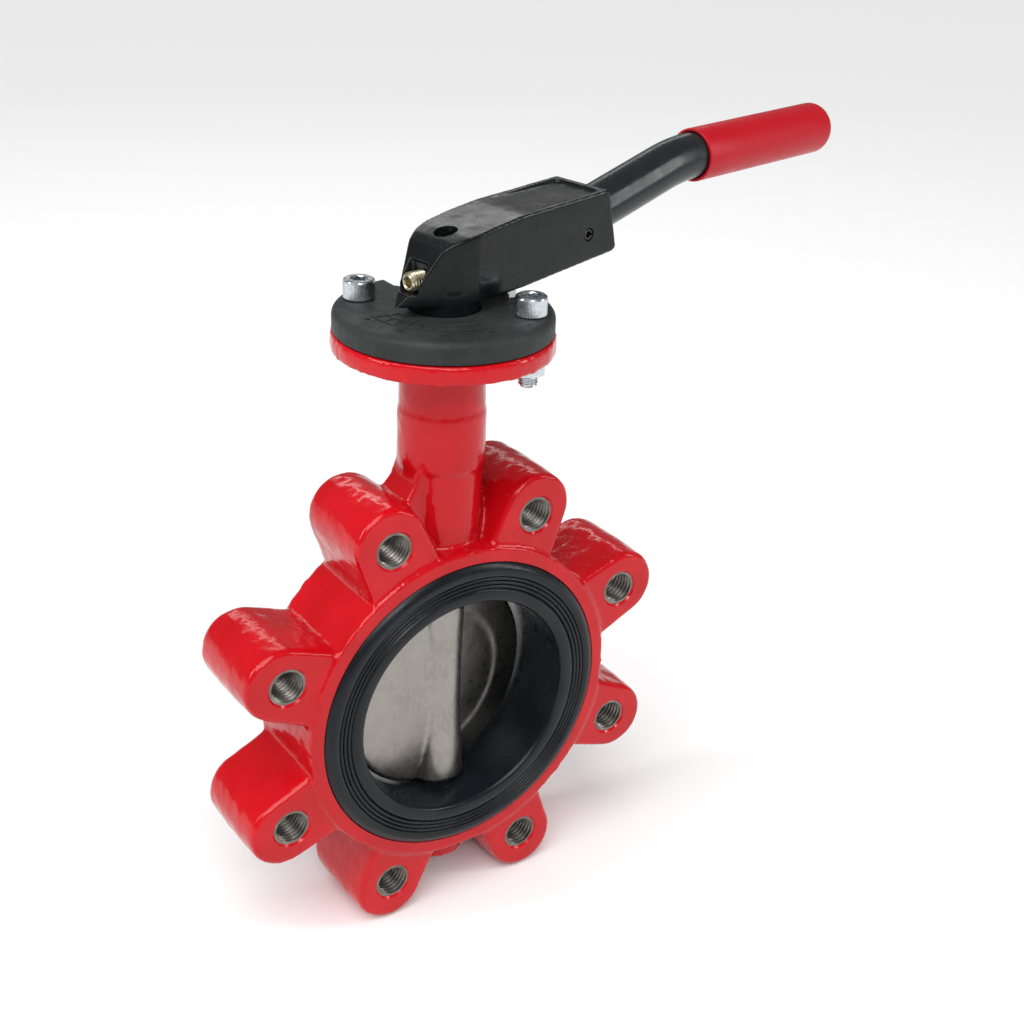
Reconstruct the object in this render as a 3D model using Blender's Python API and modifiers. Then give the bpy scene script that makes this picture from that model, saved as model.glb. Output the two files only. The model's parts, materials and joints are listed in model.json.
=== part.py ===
"""Lug-type butterfly valve with a notched hand lever.

The pipe runs along Y, the stem stands along Z and the origin is the centre of the bore. The disc and the
lever are shown ten degrees open: the lever lies along +X when the valve is shut and along +Y when it is open.
"""

import math

import bmesh
import bpy
from mathutils import Matrix

MM = 0.001

# Clearances
TOUCH_GAP = 0.3 * MM  # between pieces that touch
RUNNING_GAP = 0.08 * MM  # on the radius, between a turning pin and its hole
SEAT_GAP = 0.4 * MM  # between the disc's rim and the liner
HUB_PLAY = 0.5 * MM  # between the lever's hub and the notch plate
SCREW_PLAY = 0.5 * MM  # on the radius, between a cap screw and its hole in the flange
TUBE_SIDE_GAP = 1.9 * MM  # between the lever's tube and the head's walls
TUBE_ROOF_GAP = 4.8 * MM  # above the tube at the pin, so that it can be lifted
CUT_OVERSHOOT = 5.0 * MM  # how far a cutter stands out of the piece it cuts

# Pipe end
BORE_RADIUS = 50.0 * MM
FACE_TO_FACE = 52.0 * MM
LINER_WALL = 8.0 * MM
LINER_FACE_WIDTH = 18.4 * MM
LINER_LIP = 7.2 * MM
LINER_PROUD = 2.0 * MM  # the rubber stands out of the casting
RING_WALL = 6.3 * MM
RING_PROUD = 1.8 * MM  # the ring stands out of the lug faces

# Lugs
LUG_COUNT = 8
LUG_HOLE_OFFSET = 15.0 * MM  # from the ring's rim to the hole's axis
LUG_HALF_WIDTH = 17.0 * MM
LUG_END_REACH = 19.5 * MM  # from the hole's axis to the lug's tip
LUG_FLARE = 4.0 * MM
LUG_HOLE_RADIUS = 7.0 * MM  # core of an M16 thread
ROOT_SINK = 2.0 * MM  # how far lugs, neck and boss start inside the ring

# Neck, boss and top flange
NECK_LENGTH = 90.0 * MM  # from the ring's rim to the flange's top
NECK_WALL = 7.72 * MM
COLLAR_STEP = 0.6 * MM
COLLAR_TOP = 57.0 * MM  # above the ring's rim
BOSS_WALL = 3.52 * MM
BOSS_LENGTH = 13.3 * MM
FLANGE_RADIUS = 45.6 * MM
FLANGE_THICKNESS = 8.0 * MM
FLANGE_FILLET = 4.0 * MM
BOLT_CIRCLE_RADIUS = 35.0 * MM
RECESS_DEPTH = 7.0 * MM  # the recess in the flange that takes the washer and the retaining ring

# Disc
DISC_RIM_THICKNESS = 5.2 * MM
DISC_CENTRE_THICKNESS = 8.4 * MM
DISC_RIM_ROUND = 1.3 * MM
DISC_BREAK = 0.6  # share of the disc's radius and rise at which its faces bend
DISC_HUB_WALL = 4.0 * MM
DISC_HUB_INSET = 0.2 * MM  # the hub's ends stand inside the disc's rim

# Stem and bearings
STEM_RADIUS = 8.0 * MM
SQUARE_SHARE = 1.375  # width of the stem's square, as a share of the stem's radius
SQUARE_LIFT = 2.7 * MM  # from the notch plate's top to the upper square
SQUARE_OVERLAP = 3.0 * MM  # how far the squares reach into the round stem
STEM_SHOULDER = 1.0 * MM  # from the disc's rim to the round stem
STEM_SINK = 7.0 * MM  # the stem ends below the lever's crown
SOCKET_DEPTH = 25.0 * MM
BUSH_WALL = 1.9 * MM
BUSH_LENGTH = 16.0 * MM
BUSH_INSET = 4.0 * MM  # from the liner to the bushes beside it
BUSH_DROP = 8.0 * MM  # from the recess to the upper bush
SEAL_RADIUS = 1.35 * MM
SEAL_DROP = 4.0 * MM  # from the recess to the upper O-ring
SEAL_RISE = 9.0 * MM  # from the middle bush's foot line to the lower O-ring
WASHER_THICKNESS = 1.2 * MM
WASHER_WIDTH = 4.0 * MM
CIRCLIP_THICKNESS = 1.0 * MM
CIRCLIP_DEPTH = 0.6 * MM
CIRCLIP_WIDTH = 2.8 * MM
CIRCLIP_OPENING = math.radians(40)
CIRCLIP_LIFT = 0.4 * MM
CIRCLIP_PLAY = 0.2 * MM  # beside the ring in its groove
PLUG_THICKNESS = 7.0 * MM
PLUG_HEX = 10.0 * MM
PLUG_HEX_DEPTH = 4.0 * MM
PLUG_SEAL_WIDTH = 3.0 * MM
PLUG_SEAL_THICKNESS = 1.5 * MM

# Notch plate
PLATE_RADIUS = 44.7 * MM
PLATE_THICKNESS = 9.0 * MM
LAND_RADIUS = 33.0 * MM
NOTCH_DEPTH = 3.0 * MM
NOTCH_WIDTH = 4.0 * MM
NOTCH_COUNT = 10
NOTCH_PITCH = math.radians(10)
STOP_OFFSET = 3.5 * MM  # from the lever's line to the stop, in the shut and the open position

# Fasteners
SCREW_RADIUS = 4.0 * MM
SCREW_LENGTH = 30.0 * MM
SCREW_HEAD_RADIUS = 6.5 * MM
SCREW_HEAD_HEIGHT = 8.0 * MM
SCREW_HEX = 6.0 * MM
SCREW_HEX_DEPTH = 4.0 * MM
NUT_ACROSS_FLATS = 13.0 * MM
NUT_HEIGHT = 6.8 * MM
SET_SCREW_RADIUS = 4.0 * MM
SET_SCREW_HEX = 4.0 * MM
SET_SCREW_HEX_DEPTH = 4.0 * MM
SET_SCREW_REACH = 19.2 * MM  # from the stem's axis to the screw's outer end

# Lever: heights are above the notch plate, distances are from the stem's axis along the lever
OPEN_ANGLE = math.radians(10)
HEAD_WALL = 3.3 * MM
HEAD_ROOF = 2.2 * MM
HEAD_BOTTOM = 4.0 * MM
HEAD_BOTTOM_RISE = 2.0 * MM  # from the hub to the shoulder
HEAD_REAR_BOTTOM = 12.3 * MM
HEAD_HEEL = 2.0 * MM
HEAD_CHAMFER = 1.5 * MM
HEAD_REAR_LEAN = 6.0 * MM
HEAD_SHOULDER = 28.5 * MM
SHOULDER_DROP = 3.4 * MM  # from the head's rear top edge to its shoulder
CROWN_DROP = 5.0 * MM  # from the shoulder to the crown
BROW_DROP = 4.1 * MM  # from the crown to the brow
BROW_REACH = 10.0 * MM
BROW_SET_IN = 5.0 * MM  # the brow is narrower than the head on each side
CHEEK_START = 4.0 * MM  # where the parallel sides end
CHEEK_BEND = 3.0 * MM
CHEEK_SET_IN = 1.6 * MM
NOSE_REACH = 25.5 * MM
NOSE_HALF_WIDTH = 0.8 * MM
NOSE_SHARE = 0.58  # width halfway from the brow to the tip, as a share of the brow's
CAVITY_SHOULDER_DROP = 0.5 * MM  # the hollow's roof is thicker towards the front
CAVITY_FRONT_DROP = 1.5 * MM
HUB_WALL = 6.3 * MM
HUB_DROP = 7.5 * MM  # how far the hub reaches down into the notch plate
CROWN_HOLE_RADIUS = 4.8 * MM
CAVITY_START = 24.0 * MM
SET_SCREW_HEIGHT = 13.2 * MM

# Tube and grip
PIN_REACH = 65.6 * MM
PIN_TO_REAR = 17.4 * MM
PIN_INSET = 0.4 * MM  # the pin's ends stand inside the head's sides
PIN_HEIGHT = 21.8 * MM
PIN_RADIUS = 2.5 * MM
PIN_WALL = 0.9 * MM
PIN_SLOT = 1.0 * MM
TUBE_RADIUS = 10.2 * MM
TUBE_WALL = 2.4 * MM
TUBE_SLOPE = math.radians(15.5)
TUBE_START = 44.6 * MM  # from the stem's axis, along the tube's slope, to the tube's front end
TUBE_STRAIGHT = 62.5 * MM  # from the pin to the bend
TUBE_BEND_RADIUS = 85.0 * MM
GRIP_SLOPE = math.radians(1.5)
GRIP_LENGTH = 94.5 * MM
GRIP_WALL = 1.4 * MM
GRIP_END = 4.0 * MM
GRIP_ROUND = 7.0 * MM

# Latch
LATCH_THICKNESS = 3.0 * MM
LATCH_REST_GAP = 0.5 * MM  # between the tooth and the notch plate's land, with the tooth lifted clear
TOOTH_DEPTH = 5.0 * MM
TOOTH_LIFT = 3.0 * MM  # from the flange to the tooth's foot
TOOTH_NECK_DROP = 4.0 * MM
TANG_LENGTH = 12.0 * MM
TANG_SHARE = 0.6  # height of the tang, as a share of the tube's bore
LATCH_PLUG_LENGTH = 5.0 * MM
LATCH_PLUG_INSET = 1.0 * MM
SPRING_DROP = 10.0 * MM  # from the pin's axis to the spring's
SPRING_RADIUS = 2.6 * MM
SPRING_WIRE_RADIUS = 0.4 * MM
SPRING_TURNS = 5
SPRING_END_GAP = 1.6 * MM

# Sizes that follow from the ones above
HALF_FACE = FACE_TO_FACE / 2
LINER_RADIUS = BORE_RADIUS + LINER_WALL
LINER_FACE_RADIUS = BORE_RADIUS + LINER_FACE_WIDTH
RING_RADIUS = LINER_FACE_RADIUS + TOUCH_GAP + RING_WALL
RING_HALF = HALF_FACE - LINER_PROUD
LUG_HALF_DEPTH = RING_HALF - RING_PROUD
LUG_PITCH_RADIUS = RING_RADIUS + LUG_HOLE_OFFSET
LIP_FLOOR = HALF_FACE - LINER_LIP
DISC_RADIUS = BORE_RADIUS - SEAT_GAP
DISC_HUB_RADIUS = STEM_RADIUS + DISC_HUB_WALL
FLANGE_TOP = RING_RADIUS + NECK_LENGTH
FLANGE_BOTTOM = FLANGE_TOP - FLANGE_THICKNESS
PLATE_BOTTOM = FLANGE_TOP + TOUCH_GAP
PLATE_TOP = PLATE_BOTTOM + PLATE_THICKNESS
BUSH_RADIUS = STEM_RADIUS + RUNNING_GAP + BUSH_WALL
STEM_BORE_RADIUS = BUSH_RADIUS + TOUCH_GAP
NECK_RADIUS = STEM_BORE_RADIUS + NECK_WALL
BOSS_RADIUS = STEM_BORE_RADIUS + BOSS_WALL
BOLT_HOLE_RADIUS = SCREW_RADIUS + SCREW_PLAY
WASHER_RADIUS = STEM_RADIUS + TOUCH_GAP + WASHER_WIDTH
RECESS_FLOOR = FLANGE_TOP - RECESS_DEPTH
BOSS_FOOT = -RING_RADIUS - BOSS_LENGTH
HUB_RADIUS = STEM_RADIUS + HUB_WALL
STEM_SQUARE = STEM_RADIUS * SQUARE_SHARE
SOCKET_HALF = STEM_SQUARE / 2 + TOUCH_GAP
HEAD_WIDTH = 2 * (TUBE_RADIUS + TUBE_SIDE_GAP + HEAD_WALL)
HEAD_LENGTH = PIN_REACH + PIN_TO_REAR
HEAD_HEIGHT = PIN_HEIGHT + TUBE_RADIUS + TUBE_ROOF_GAP + HEAD_ROOF
HEAD_SHOULDER_HEIGHT = HEAD_HEIGHT - SHOULDER_DROP
HEAD_CROWN_HEIGHT = HEAD_SHOULDER_HEIGHT - CROWN_DROP
BROW_HEIGHT = HEAD_CROWN_HEIGHT - BROW_DROP
BROW_HALF_WIDTH = HEAD_WIDTH / 2 - BROW_SET_IN
STEM_TOP = PLATE_TOP + HEAD_CROWN_HEIGHT - STEM_SINK
SQUARE_START = PLATE_TOP + SQUARE_LIFT
PIN_Z = PLATE_TOP + PIN_HEIGHT
TUBE_FRONT = PIN_REACH - TUBE_START
GRIP_RADIUS = TUBE_RADIUS + TOUCH_GAP + GRIP_WALL

RING_SEGMENTS = 64
SHAFT_SEGMENTS = 32
HOLE_SEGMENTS = 24


# ---------------------------------------------------------------- modelling helpers


def clear_scene():
    """Remove every object, so that the script gives the same model in any file."""
    for old in list(bpy.data.objects):
        bpy.data.objects.remove(old, do_unlink=True)


def new_collection(name):
    """Return a new collection that is linked to the scene."""
    collection = bpy.data.collections.new(name)
    bpy.context.scene.collection.children.link(collection)
    return collection


def link_object(name, data, parent=None, cutter=False):
    """Put a mesh or curve in the scene: a part in the valve's collection, a cutter in its own."""
    obj = bpy.data.objects.new(name, data)
    if cutter:
        CUTTERS.objects.link(obj)
        obj.hide_render = True
        obj.display_type = "WIRE"
    else:
        PARTS.objects.link(obj)
    obj.parent = parent
    return obj


def mesh_from_bmesh(name, bm):
    """Turn a finished bmesh into a mesh datablock."""
    mesh = bpy.data.meshes.new(name)
    bm.to_mesh(mesh)
    bm.free()
    return mesh


def rod(name, radius, start, end, axis="Z", segments=HOLE_SEGMENTS, centre=(0, 0, 0), **links):
    """Make a cylinder from start to end along one axis, through a centre point."""
    bm = bmesh.new()
    bmesh.ops.create_cone(
        bm, cap_ends=True, segments=segments, radius1=radius, radius2=radius, depth=end - start
    )
    bmesh.ops.translate(bm, vec=(0, 0, (start + end) / 2), verts=bm.verts)
    turn = {"X": Matrix.Rotation(math.pi / 2, 4, "Y"), "Y": Matrix.Rotation(-math.pi / 2, 4, "X")}
    if axis in turn:
        bmesh.ops.transform(bm, matrix=turn[axis], verts=bm.verts)
    bmesh.ops.translate(bm, vec=centre, verts=bm.verts)
    return link_object(name, mesh_from_bmesh(name, bm), **links)


def block(name, low, high, **links):
    """Make a box between two corners."""
    bm = bmesh.new()
    bmesh.ops.create_cube(bm, size=1)
    size = [b - a for a, b in zip(low, high)]
    middle = [(a + b) / 2 for a, b in zip(low, high)]
    bmesh.ops.scale(bm, vec=size, verts=bm.verts)
    bmesh.ops.translate(bm, vec=middle, verts=bm.verts)
    return link_object(name, mesh_from_bmesh(name, bm), **links)


def turned(name, profile, segments=SHAFT_SEGMENTS, closed=False, **links):
    """Turn a profile of (radius, height) points about the object's Z axis."""
    edges = [(i, i + 1) for i in range(len(profile) - 1)]
    if closed:
        edges.append((len(profile) - 1, 0))
    mesh = bpy.data.meshes.new(name)
    mesh.from_pydata([(radius, 0, height) for radius, height in profile], edges, [])
    obj = link_object(name, mesh, **links)
    screw = obj.modifiers.new("turn", "SCREW")
    screw.steps = segments
    screw.render_steps = segments
    screw.use_merge_vertices = True
    screw.merge_threshold = 0.00001
    return obj


def outline_solid(name, loops, half_thickness, axis="Z", **links):
    """Fill flat outlines, inner loops being holes, and thicken them along one axis."""
    curve = bpy.data.curves.new(name, "CURVE")
    curve.dimensions = "2D"
    curve.fill_mode = "BOTH"
    curve.extrude = half_thickness
    for loop in loops:
        spline = curve.splines.new("POLY")
        spline.points.add(len(loop) - 1)
        for point, (x, y) in zip(spline.points, loop):
            point.co = (x, y, 0, 1)
        spline.use_cyclic_u = True
    flat = link_object(name + "_outline", curve)
    mesh = welded_mesh(name, flat)
    if axis == "Y":
        mesh.transform(Matrix.Rotation(math.pi / 2, 4, "X"))
    return link_object(name, mesh, **links)


def welded_mesh(name, curve_object):
    """Turn a curve object into a closed mesh and remove the curve."""
    bpy.context.view_layer.update()
    evaluated = curve_object.evaluated_get(bpy.context.evaluated_depsgraph_get())
    mesh = bpy.data.meshes.new_from_object(evaluated)
    mesh.name = name
    bm = bmesh.new()
    bm.from_mesh(mesh)
    bmesh.ops.remove_doubles(bm, verts=bm.verts, dist=0.000005)
    bmesh.ops.recalc_face_normals(bm, faces=bm.faces)
    bm.to_mesh(mesh)
    bm.free()
    bpy.data.objects.remove(curve_object, do_unlink=True)
    return mesh


def swept(name, points, radius, resolution, **links):
    """Sweep a round section along a path and close its ends."""
    curve = bpy.data.curves.new(name, "CURVE")
    curve.dimensions = "3D"
    curve.bevel_depth = radius
    curve.bevel_resolution = resolution
    curve.use_fill_caps = True
    spline = curve.splines.new("POLY")
    spline.points.add(len(points) - 1)
    for point, place in zip(spline.points, points):
        point.co = (*place, 1)
    path = link_object(name + "_path", curve)
    return link_object(name, welded_mesh(name, path), **links)


def combine(target, operation, *tools):
    """Add one Boolean modifier for each tool."""
    for tool in tools:
        boolean = target.modifiers.new(tool.name, "BOOLEAN")
        boolean.operation = operation
        boolean.solver = "EXACT"
        boolean.object = tool


def arc(radius, start, end, steps, centre=(0, 0)):
    """Return points along an arc."""
    turns = [start + (end - start) * i / steps for i in range(steps + 1)]
    return [(centre[0] + radius * math.cos(t), centre[1] + radius * math.sin(t)) for t in turns]


def circle(radius, centre=(0, 0), steps=HOLE_SEGMENTS):
    """Return points round a whole circle."""
    return arc(radius, 0, math.tau, steps, centre)[:-1]


def material(name, colour, roughness, metallic):
    """Make a Principled material."""
    made = bpy.data.materials.new(name)
    made.use_nodes = True
    shader = made.node_tree.nodes["Principled BSDF"]
    shader.inputs["Base Color"].default_value = (*colour, 1)
    shader.inputs["Roughness"].default_value = roughness
    shader.inputs["Metallic"].default_value = metallic
    return made


def finish(obj, look):
    """Give a part its own material and smooth shading with crisp edges."""
    name, colour, roughness, metallic = look
    obj.data.materials.append(material(obj.name + "_" + name, colour, roughness, metallic))
    obj.data.shade_smooth()
    obj.data.set_sharp_from_angle(angle=math.radians(35))
    return obj


RED_ENAMEL = ("red_enamel", (0.60, 0.010, 0.020), 0.22, 0.0)
RED_VINYL = ("red_vinyl", (0.50, 0.008, 0.016), 0.38, 0.0)
BLACK_RUBBER = ("black_rubber", (0.012, 0.014, 0.017), 0.45, 0.0)
GREY_PLASTIC = ("grey_plastic", (0.045, 0.050, 0.050), 0.60, 0.0)
BLACK_PAINT = ("black_paint", (0.018, 0.020, 0.022), 0.32, 0.0)
CAST_NICKEL = ("cast_nickel", (0.42, 0.40, 0.36), 0.42, 1.0)
BRIGHT_ZINC = ("bright_zinc", (0.60, 0.64, 0.68), 0.28, 1.0)
YELLOW_ZINC = ("yellow_zinc", (0.62, 0.55, 0.38), 0.35, 1.0)
TURNED_STEEL = ("turned_steel", (0.50, 0.50, 0.50), 0.30, 1.0)
BEARING_BRONZE = ("bearing_bronze", (0.50, 0.34, 0.16), 0.40, 1.0)


# ---------------------------------------------------------------- valve body


def lug_outline():
    """Outline of one lug that points along +X: flared root, parallel sides, round tip."""
    root = LINER_RADIUS + ROOT_SINK
    side_end = LUG_PITCH_RADIUS + LUG_END_REACH - LUG_HALF_WIDTH
    upper = [(root, LUG_HALF_WIDTH + LUG_FLARE), (RING_RADIUS, LUG_HALF_WIDTH + LUG_FLARE / 4)]
    tip = arc(LUG_HALF_WIDTH, math.pi / 2, -math.pi / 2, 12, (side_end, 0))
    lower = [(x, -y) for x, y in reversed(upper)]
    return upper + tip + lower


def lug_angle(index):
    """Angle of a lug about the bore, from +X towards +Z."""
    return math.tau * (index + 0.5) / LUG_COUNT


def make_lugs():
    """Make the lugs and the cutters for their tapped holes."""
    lugs = []
    holes = []
    for index in range(LUG_COUNT):
        angle = lug_angle(index)
        lug = outline_solid(f"lug_{index}", [lug_outline()], LUG_HALF_DEPTH, axis="Y", cutter=True)
        lug.rotation_euler.y = -angle
        centre = (LUG_PITCH_RADIUS * math.cos(angle), 0, LUG_PITCH_RADIUS * math.sin(angle))
        name = f"lug_hole_{index}"
        hole = rod(name, LUG_HOLE_RADIUS, -HALF_FACE, HALF_FACE, axis="Y", centre=centre, cutter=True)
        lugs.append(lug)
        holes.append(hole)
    return lugs, holes


def make_neck():
    """Make the neck with its collar, the top flange and the fillet between them."""
    centre = (NECK_RADIUS + FLANGE_FILLET, FLANGE_BOTTOM - FLANGE_FILLET)
    fillet = arc(FLANGE_FILLET, math.pi / 2, math.pi, 4, centre)
    collar = NECK_RADIUS + COLLAR_STEP
    collar_top = RING_RADIUS + COLLAR_TOP
    profile = [(0, FLANGE_TOP), (FLANGE_RADIUS, FLANGE_TOP), (FLANGE_RADIUS, FLANGE_BOTTOM)]
    profile += fillet
    foot = LINER_RADIUS + ROOT_SINK
    profile += [(NECK_RADIUS, collar_top + COLLAR_STEP), (collar, collar_top), (collar, foot), (0, foot)]
    return turned("neck", profile, segments=40, cutter=True)


def bolt_places():
    """Places of the four holes in the top flange: the first and third carry screws."""
    angles = [math.radians(135 + 90 * i) for i in range(4)]
    return [(BOLT_CIRCLE_RADIUS * math.cos(a), BOLT_CIRCLE_RADIUS * math.sin(a)) for a in angles]


def make_body():
    """Make the one-piece cast body."""
    half = RING_HALF
    inner = LINER_RADIUS + TOUCH_GAP
    lip = LINER_FACE_RADIUS + TOUCH_GAP
    floor = LIP_FLOOR - TOUCH_GAP
    ring_profile = [(RING_RADIUS, half), (RING_RADIUS, -half), (lip, -half), (lip, -floor)]
    ring_profile += [(inner, -floor), (inner, floor), (lip, floor), (lip, half)]
    body = turned("body", ring_profile, segments=RING_SEGMENTS, closed=True)
    body.rotation_euler.x = math.pi / 2
    lugs, holes = make_lugs()
    boss = rod("boss", BOSS_RADIUS, BOSS_FOOT, -LINER_RADIUS - ROOT_SINK, segments=40, cutter=True)
    combine(body, "UNION", *lugs, make_neck(), boss)
    cavity_profile = [(0, FACE_TO_FACE), (lip, FACE_TO_FACE), (lip, floor), (inner, floor)]
    cavity_profile += [(radius, -height) for radius, height in reversed(cavity_profile)]
    cavity = turned("cavity", cavity_profile, segments=RING_SEGMENTS, cutter=True)
    cavity.rotation_euler.x = math.pi / 2
    above = FLANGE_TOP + CUT_OVERSHOOT
    below = BOSS_FOOT - CUT_OVERSHOOT
    under = FLANGE_BOTTOM - CUT_OVERSHOOT
    recess_radius = WASHER_RADIUS + TOUCH_GAP
    stem_bore = rod("stem_bore", STEM_BORE_RADIUS, below, above, segments=SHAFT_SEGMENTS, cutter=True)
    recess = rod("recess", recess_radius, RECESS_FLOOR, above, segments=SHAFT_SEGMENTS, cutter=True)
    bolt_holes = [
        rod(f"flange_hole_{i}", BOLT_HOLE_RADIUS, under, above, centre=(x, y, 0), cutter=True)
        for i, (x, y) in enumerate(bolt_places())
    ]
    combine(body, "DIFFERENCE", cavity, stem_bore, recess, *holes, *bolt_holes)
    return finish(body, RED_ENAMEL)


def make_liner():
    """Make the rubber liner, with a lip over each end of the body and a hole for each stem."""
    profile = [(LINER_FACE_RADIUS, HALF_FACE), (LINER_FACE_RADIUS, LIP_FLOOR), (LINER_RADIUS, LIP_FLOOR)]
    profile += [(radius, -height) for radius, height in reversed(profile)]
    profile += [(BORE_RADIUS, -HALF_FACE), (BORE_RADIUS, HALF_FACE)]
    liner = turned("liner", profile, segments=RING_SEGMENTS, closed=True)
    liner.rotation_euler.x = math.pi / 2
    reach = LINER_RADIUS + CUT_OVERSHOOT
    radius = STEM_RADIUS + TOUCH_GAP
    stem_hole = rod("liner_stem_hole", radius, -reach, reach, segments=SHAFT_SEGMENTS, cutter=True)
    combine(liner, "DIFFERENCE", stem_hole)
    return finish(liner, BLACK_RUBBER)


def ring_solid(name, inner, outer, low, high, look, parent=None):
    """Make a plain ring about the stem, such as a bush or a washer."""
    profile = [(outer, high), (outer, low), (inner, low), (inner, high)]
    return finish(turned(name, profile, closed=True, parent=parent), look)


def make_bearings():
    """Make the three stem bushes and the thrust washer."""
    inner = STEM_RADIUS + RUNNING_GAP
    foot = LINER_RADIUS + BUSH_INSET
    upper = RECESS_FLOOR - BUSH_DROP
    spans = {
        "bush_upper": (upper - BUSH_LENGTH, upper),
        "bush_middle": (foot, foot + BUSH_LENGTH),
        "bush_lower": (-foot - BUSH_LENGTH, -foot),
    }
    for name, (low, high) in spans.items():
        ring_solid(name, inner, BUSH_RADIUS, low, high, BEARING_BRONZE)
    low = RECESS_FLOOR + TOUCH_GAP
    high = low + WASHER_THICKNESS
    ring_solid("thrust_washer", STEM_RADIUS + TOUCH_GAP, WASHER_RADIUS, low, high, TURNED_STEEL)


def make_bottom_plug():
    """Make the plug with a hexagon socket that closes the bottom boss, and its seal."""
    radius = STEM_BORE_RADIUS - TOUCH_GAP
    top = BOSS_FOOT + PLUG_THICKNESS
    plug = rod("bottom_plug", radius, BOSS_FOOT, top, segments=SHAFT_SEGMENTS)
    below = BOSS_FOOT - CUT_OVERSHOOT
    corner = PLUG_HEX / math.sqrt(3)
    socket = rod("plug_socket", corner, below, BOSS_FOOT + PLUG_HEX_DEPTH, segments=6, cutter=True)
    combine(plug, "DIFFERENCE", socket)
    finish(plug, BRIGHT_ZINC)
    low = top + TOUCH_GAP
    ring_solid("plug_seal", radius - PLUG_SEAL_WIDTH, radius, low, low + PLUG_SEAL_THICKNESS, BLACK_RUBBER)


# ---------------------------------------------------------------- disc and stem


def make_disc(rotor):
    """Make the disc: a thin lens with an upright hub that takes the two stems."""
    half_rim = DISC_RIM_THICKNESS / 2
    half_centre = DISC_CENTRE_THICKNESS / 2
    lens = [(0, half_centre), (DISC_RADIUS * DISC_BREAK, half_rim + (half_centre - half_rim) * DISC_BREAK)]
    lens += [(DISC_RADIUS - DISC_RIM_ROUND, half_rim), (DISC_RADIUS, half_rim - DISC_RIM_ROUND)]
    lens += [(radius, -height) for radius, height in reversed(lens)]
    disc = turned("disc", lens, segments=RING_SEGMENTS, parent=rotor)
    disc.rotation_euler.x = math.pi / 2
    dome = DISC_RADIUS - DISC_HUB_INSET
    edge = math.asin(DISC_HUB_RADIUS / dome)
    cap = [(dome * math.sin(edge * i / 4), dome * math.cos(edge * i / 4)) for i in range(5)]
    profile = cap + [(radius, -height) for radius, height in reversed(cap)]
    hub = turned("disc_hub", profile, parent=rotor, cutter=True)
    combine(disc, "UNION", hub)
    start = dome - SOCKET_DEPTH
    end = dome + CUT_OVERSHOOT
    links = {"parent": rotor, "cutter": True}
    low, high = (-SOCKET_HALF, -SOCKET_HALF, start), (SOCKET_HALF, SOCKET_HALF, end)
    upper = block("disc_socket", low, high, **links)
    radius = STEM_RADIUS + TOUCH_GAP
    lower = rod("disc_socket_lower", radius, -end, -start, segments=SHAFT_SEGMENTS, **links)
    combine(disc, "DIFFERENCE", upper, lower)
    return finish(disc, CAST_NICKEL)


def seal_heights():
    """Heights of the two O-rings on the upper stem."""
    return RECESS_FLOOR - SEAL_DROP, LINER_RADIUS + BUSH_LENGTH + SEAL_RISE


def circlip_height():
    """Height of the middle of the retaining ring."""
    return RECESS_FLOOR + 2 * TOUCH_GAP + WASHER_THICKNESS + CIRCLIP_THICKNESS / 2 + CIRCLIP_LIFT


def groove(radius, height, half_width):
    """Profile points of a groove in the stem, from the top down."""
    top = height + half_width
    bottom = height - half_width
    return [(STEM_RADIUS, top), (radius, top), (radius, bottom), (STEM_RADIUS, bottom)]


def make_upper_stem(rotor):
    """Make the drive stem: round where it runs, square in the disc and in the lever."""
    seal_root = STEM_BORE_RADIUS - 2 * TOUCH_GAP - 2 * SEAL_RADIUS
    round_end = DISC_RADIUS + STEM_SHOULDER
    profile = [(0, SQUARE_START), (STEM_RADIUS, SQUARE_START)]
    profile += groove(STEM_RADIUS - CIRCLIP_DEPTH, circlip_height(), CIRCLIP_THICKNESS / 2 + CIRCLIP_PLAY)
    for height in seal_heights():
        profile += groove(seal_root, height, SEAL_RADIUS + TOUCH_GAP)
    profile += [(STEM_RADIUS, round_end), (0, round_end)]
    stem = turned("stem_upper", profile, parent=rotor)
    half = STEM_SQUARE / 2
    foot = DISC_RADIUS - SOCKET_DEPTH + TOUCH_GAP
    spans = {
        "lever_square": (SQUARE_START - SQUARE_OVERLAP, STEM_TOP),
        "disc_square": (foot, round_end + SQUARE_OVERLAP),
    }
    squares = [
        block(name, (-half, -half, low), (half, half, high), parent=rotor, cutter=True)
        for name, (low, high) in spans.items()
    ]
    combine(stem, "UNION", *squares)
    return finish(stem, TURNED_STEEL)


def make_lower_stem(rotor):
    """Make the short round stem that carries the foot of the disc."""
    top = -(DISC_RADIUS - SOCKET_DEPTH + TOUCH_GAP)
    bottom = -(LINER_RADIUS + BUSH_INSET + BUSH_LENGTH)
    stem = rod("stem_lower", STEM_RADIUS, bottom, top, segments=SHAFT_SEGMENTS, parent=rotor)
    return finish(stem, TURNED_STEEL)


def make_stem_seals(rotor):
    """Make the two O-rings that sit in the upper stem's grooves."""
    centre = STEM_BORE_RADIUS - TOUCH_GAP - SEAL_RADIUS
    for name, height in zip(("o_ring_upper", "o_ring_lower"), seal_heights()):
        section = circle(SEAL_RADIUS, (centre, height), 10)
        ring = turned(name, list(reversed(section)), closed=True, parent=rotor)
        finish(ring, BLACK_RUBBER)


def make_retaining_ring(rotor):
    """Make the open spring ring that keeps the stem from dropping."""
    inner = STEM_RADIUS - CIRCLIP_DEPTH + TOUCH_GAP
    outer = inner + CIRCLIP_WIDTH
    half = CIRCLIP_OPENING / 2
    loop = arc(outer, half, math.tau - half, 24) + arc(inner, math.tau - half, half, 24)
    ring = outline_solid("retaining_ring", [loop], CIRCLIP_THICKNESS / 2, parent=rotor)
    ring.location.z = circlip_height()
    return finish(ring, TURNED_STEEL)


# ---------------------------------------------------------------- notch plate and its fasteners


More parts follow.
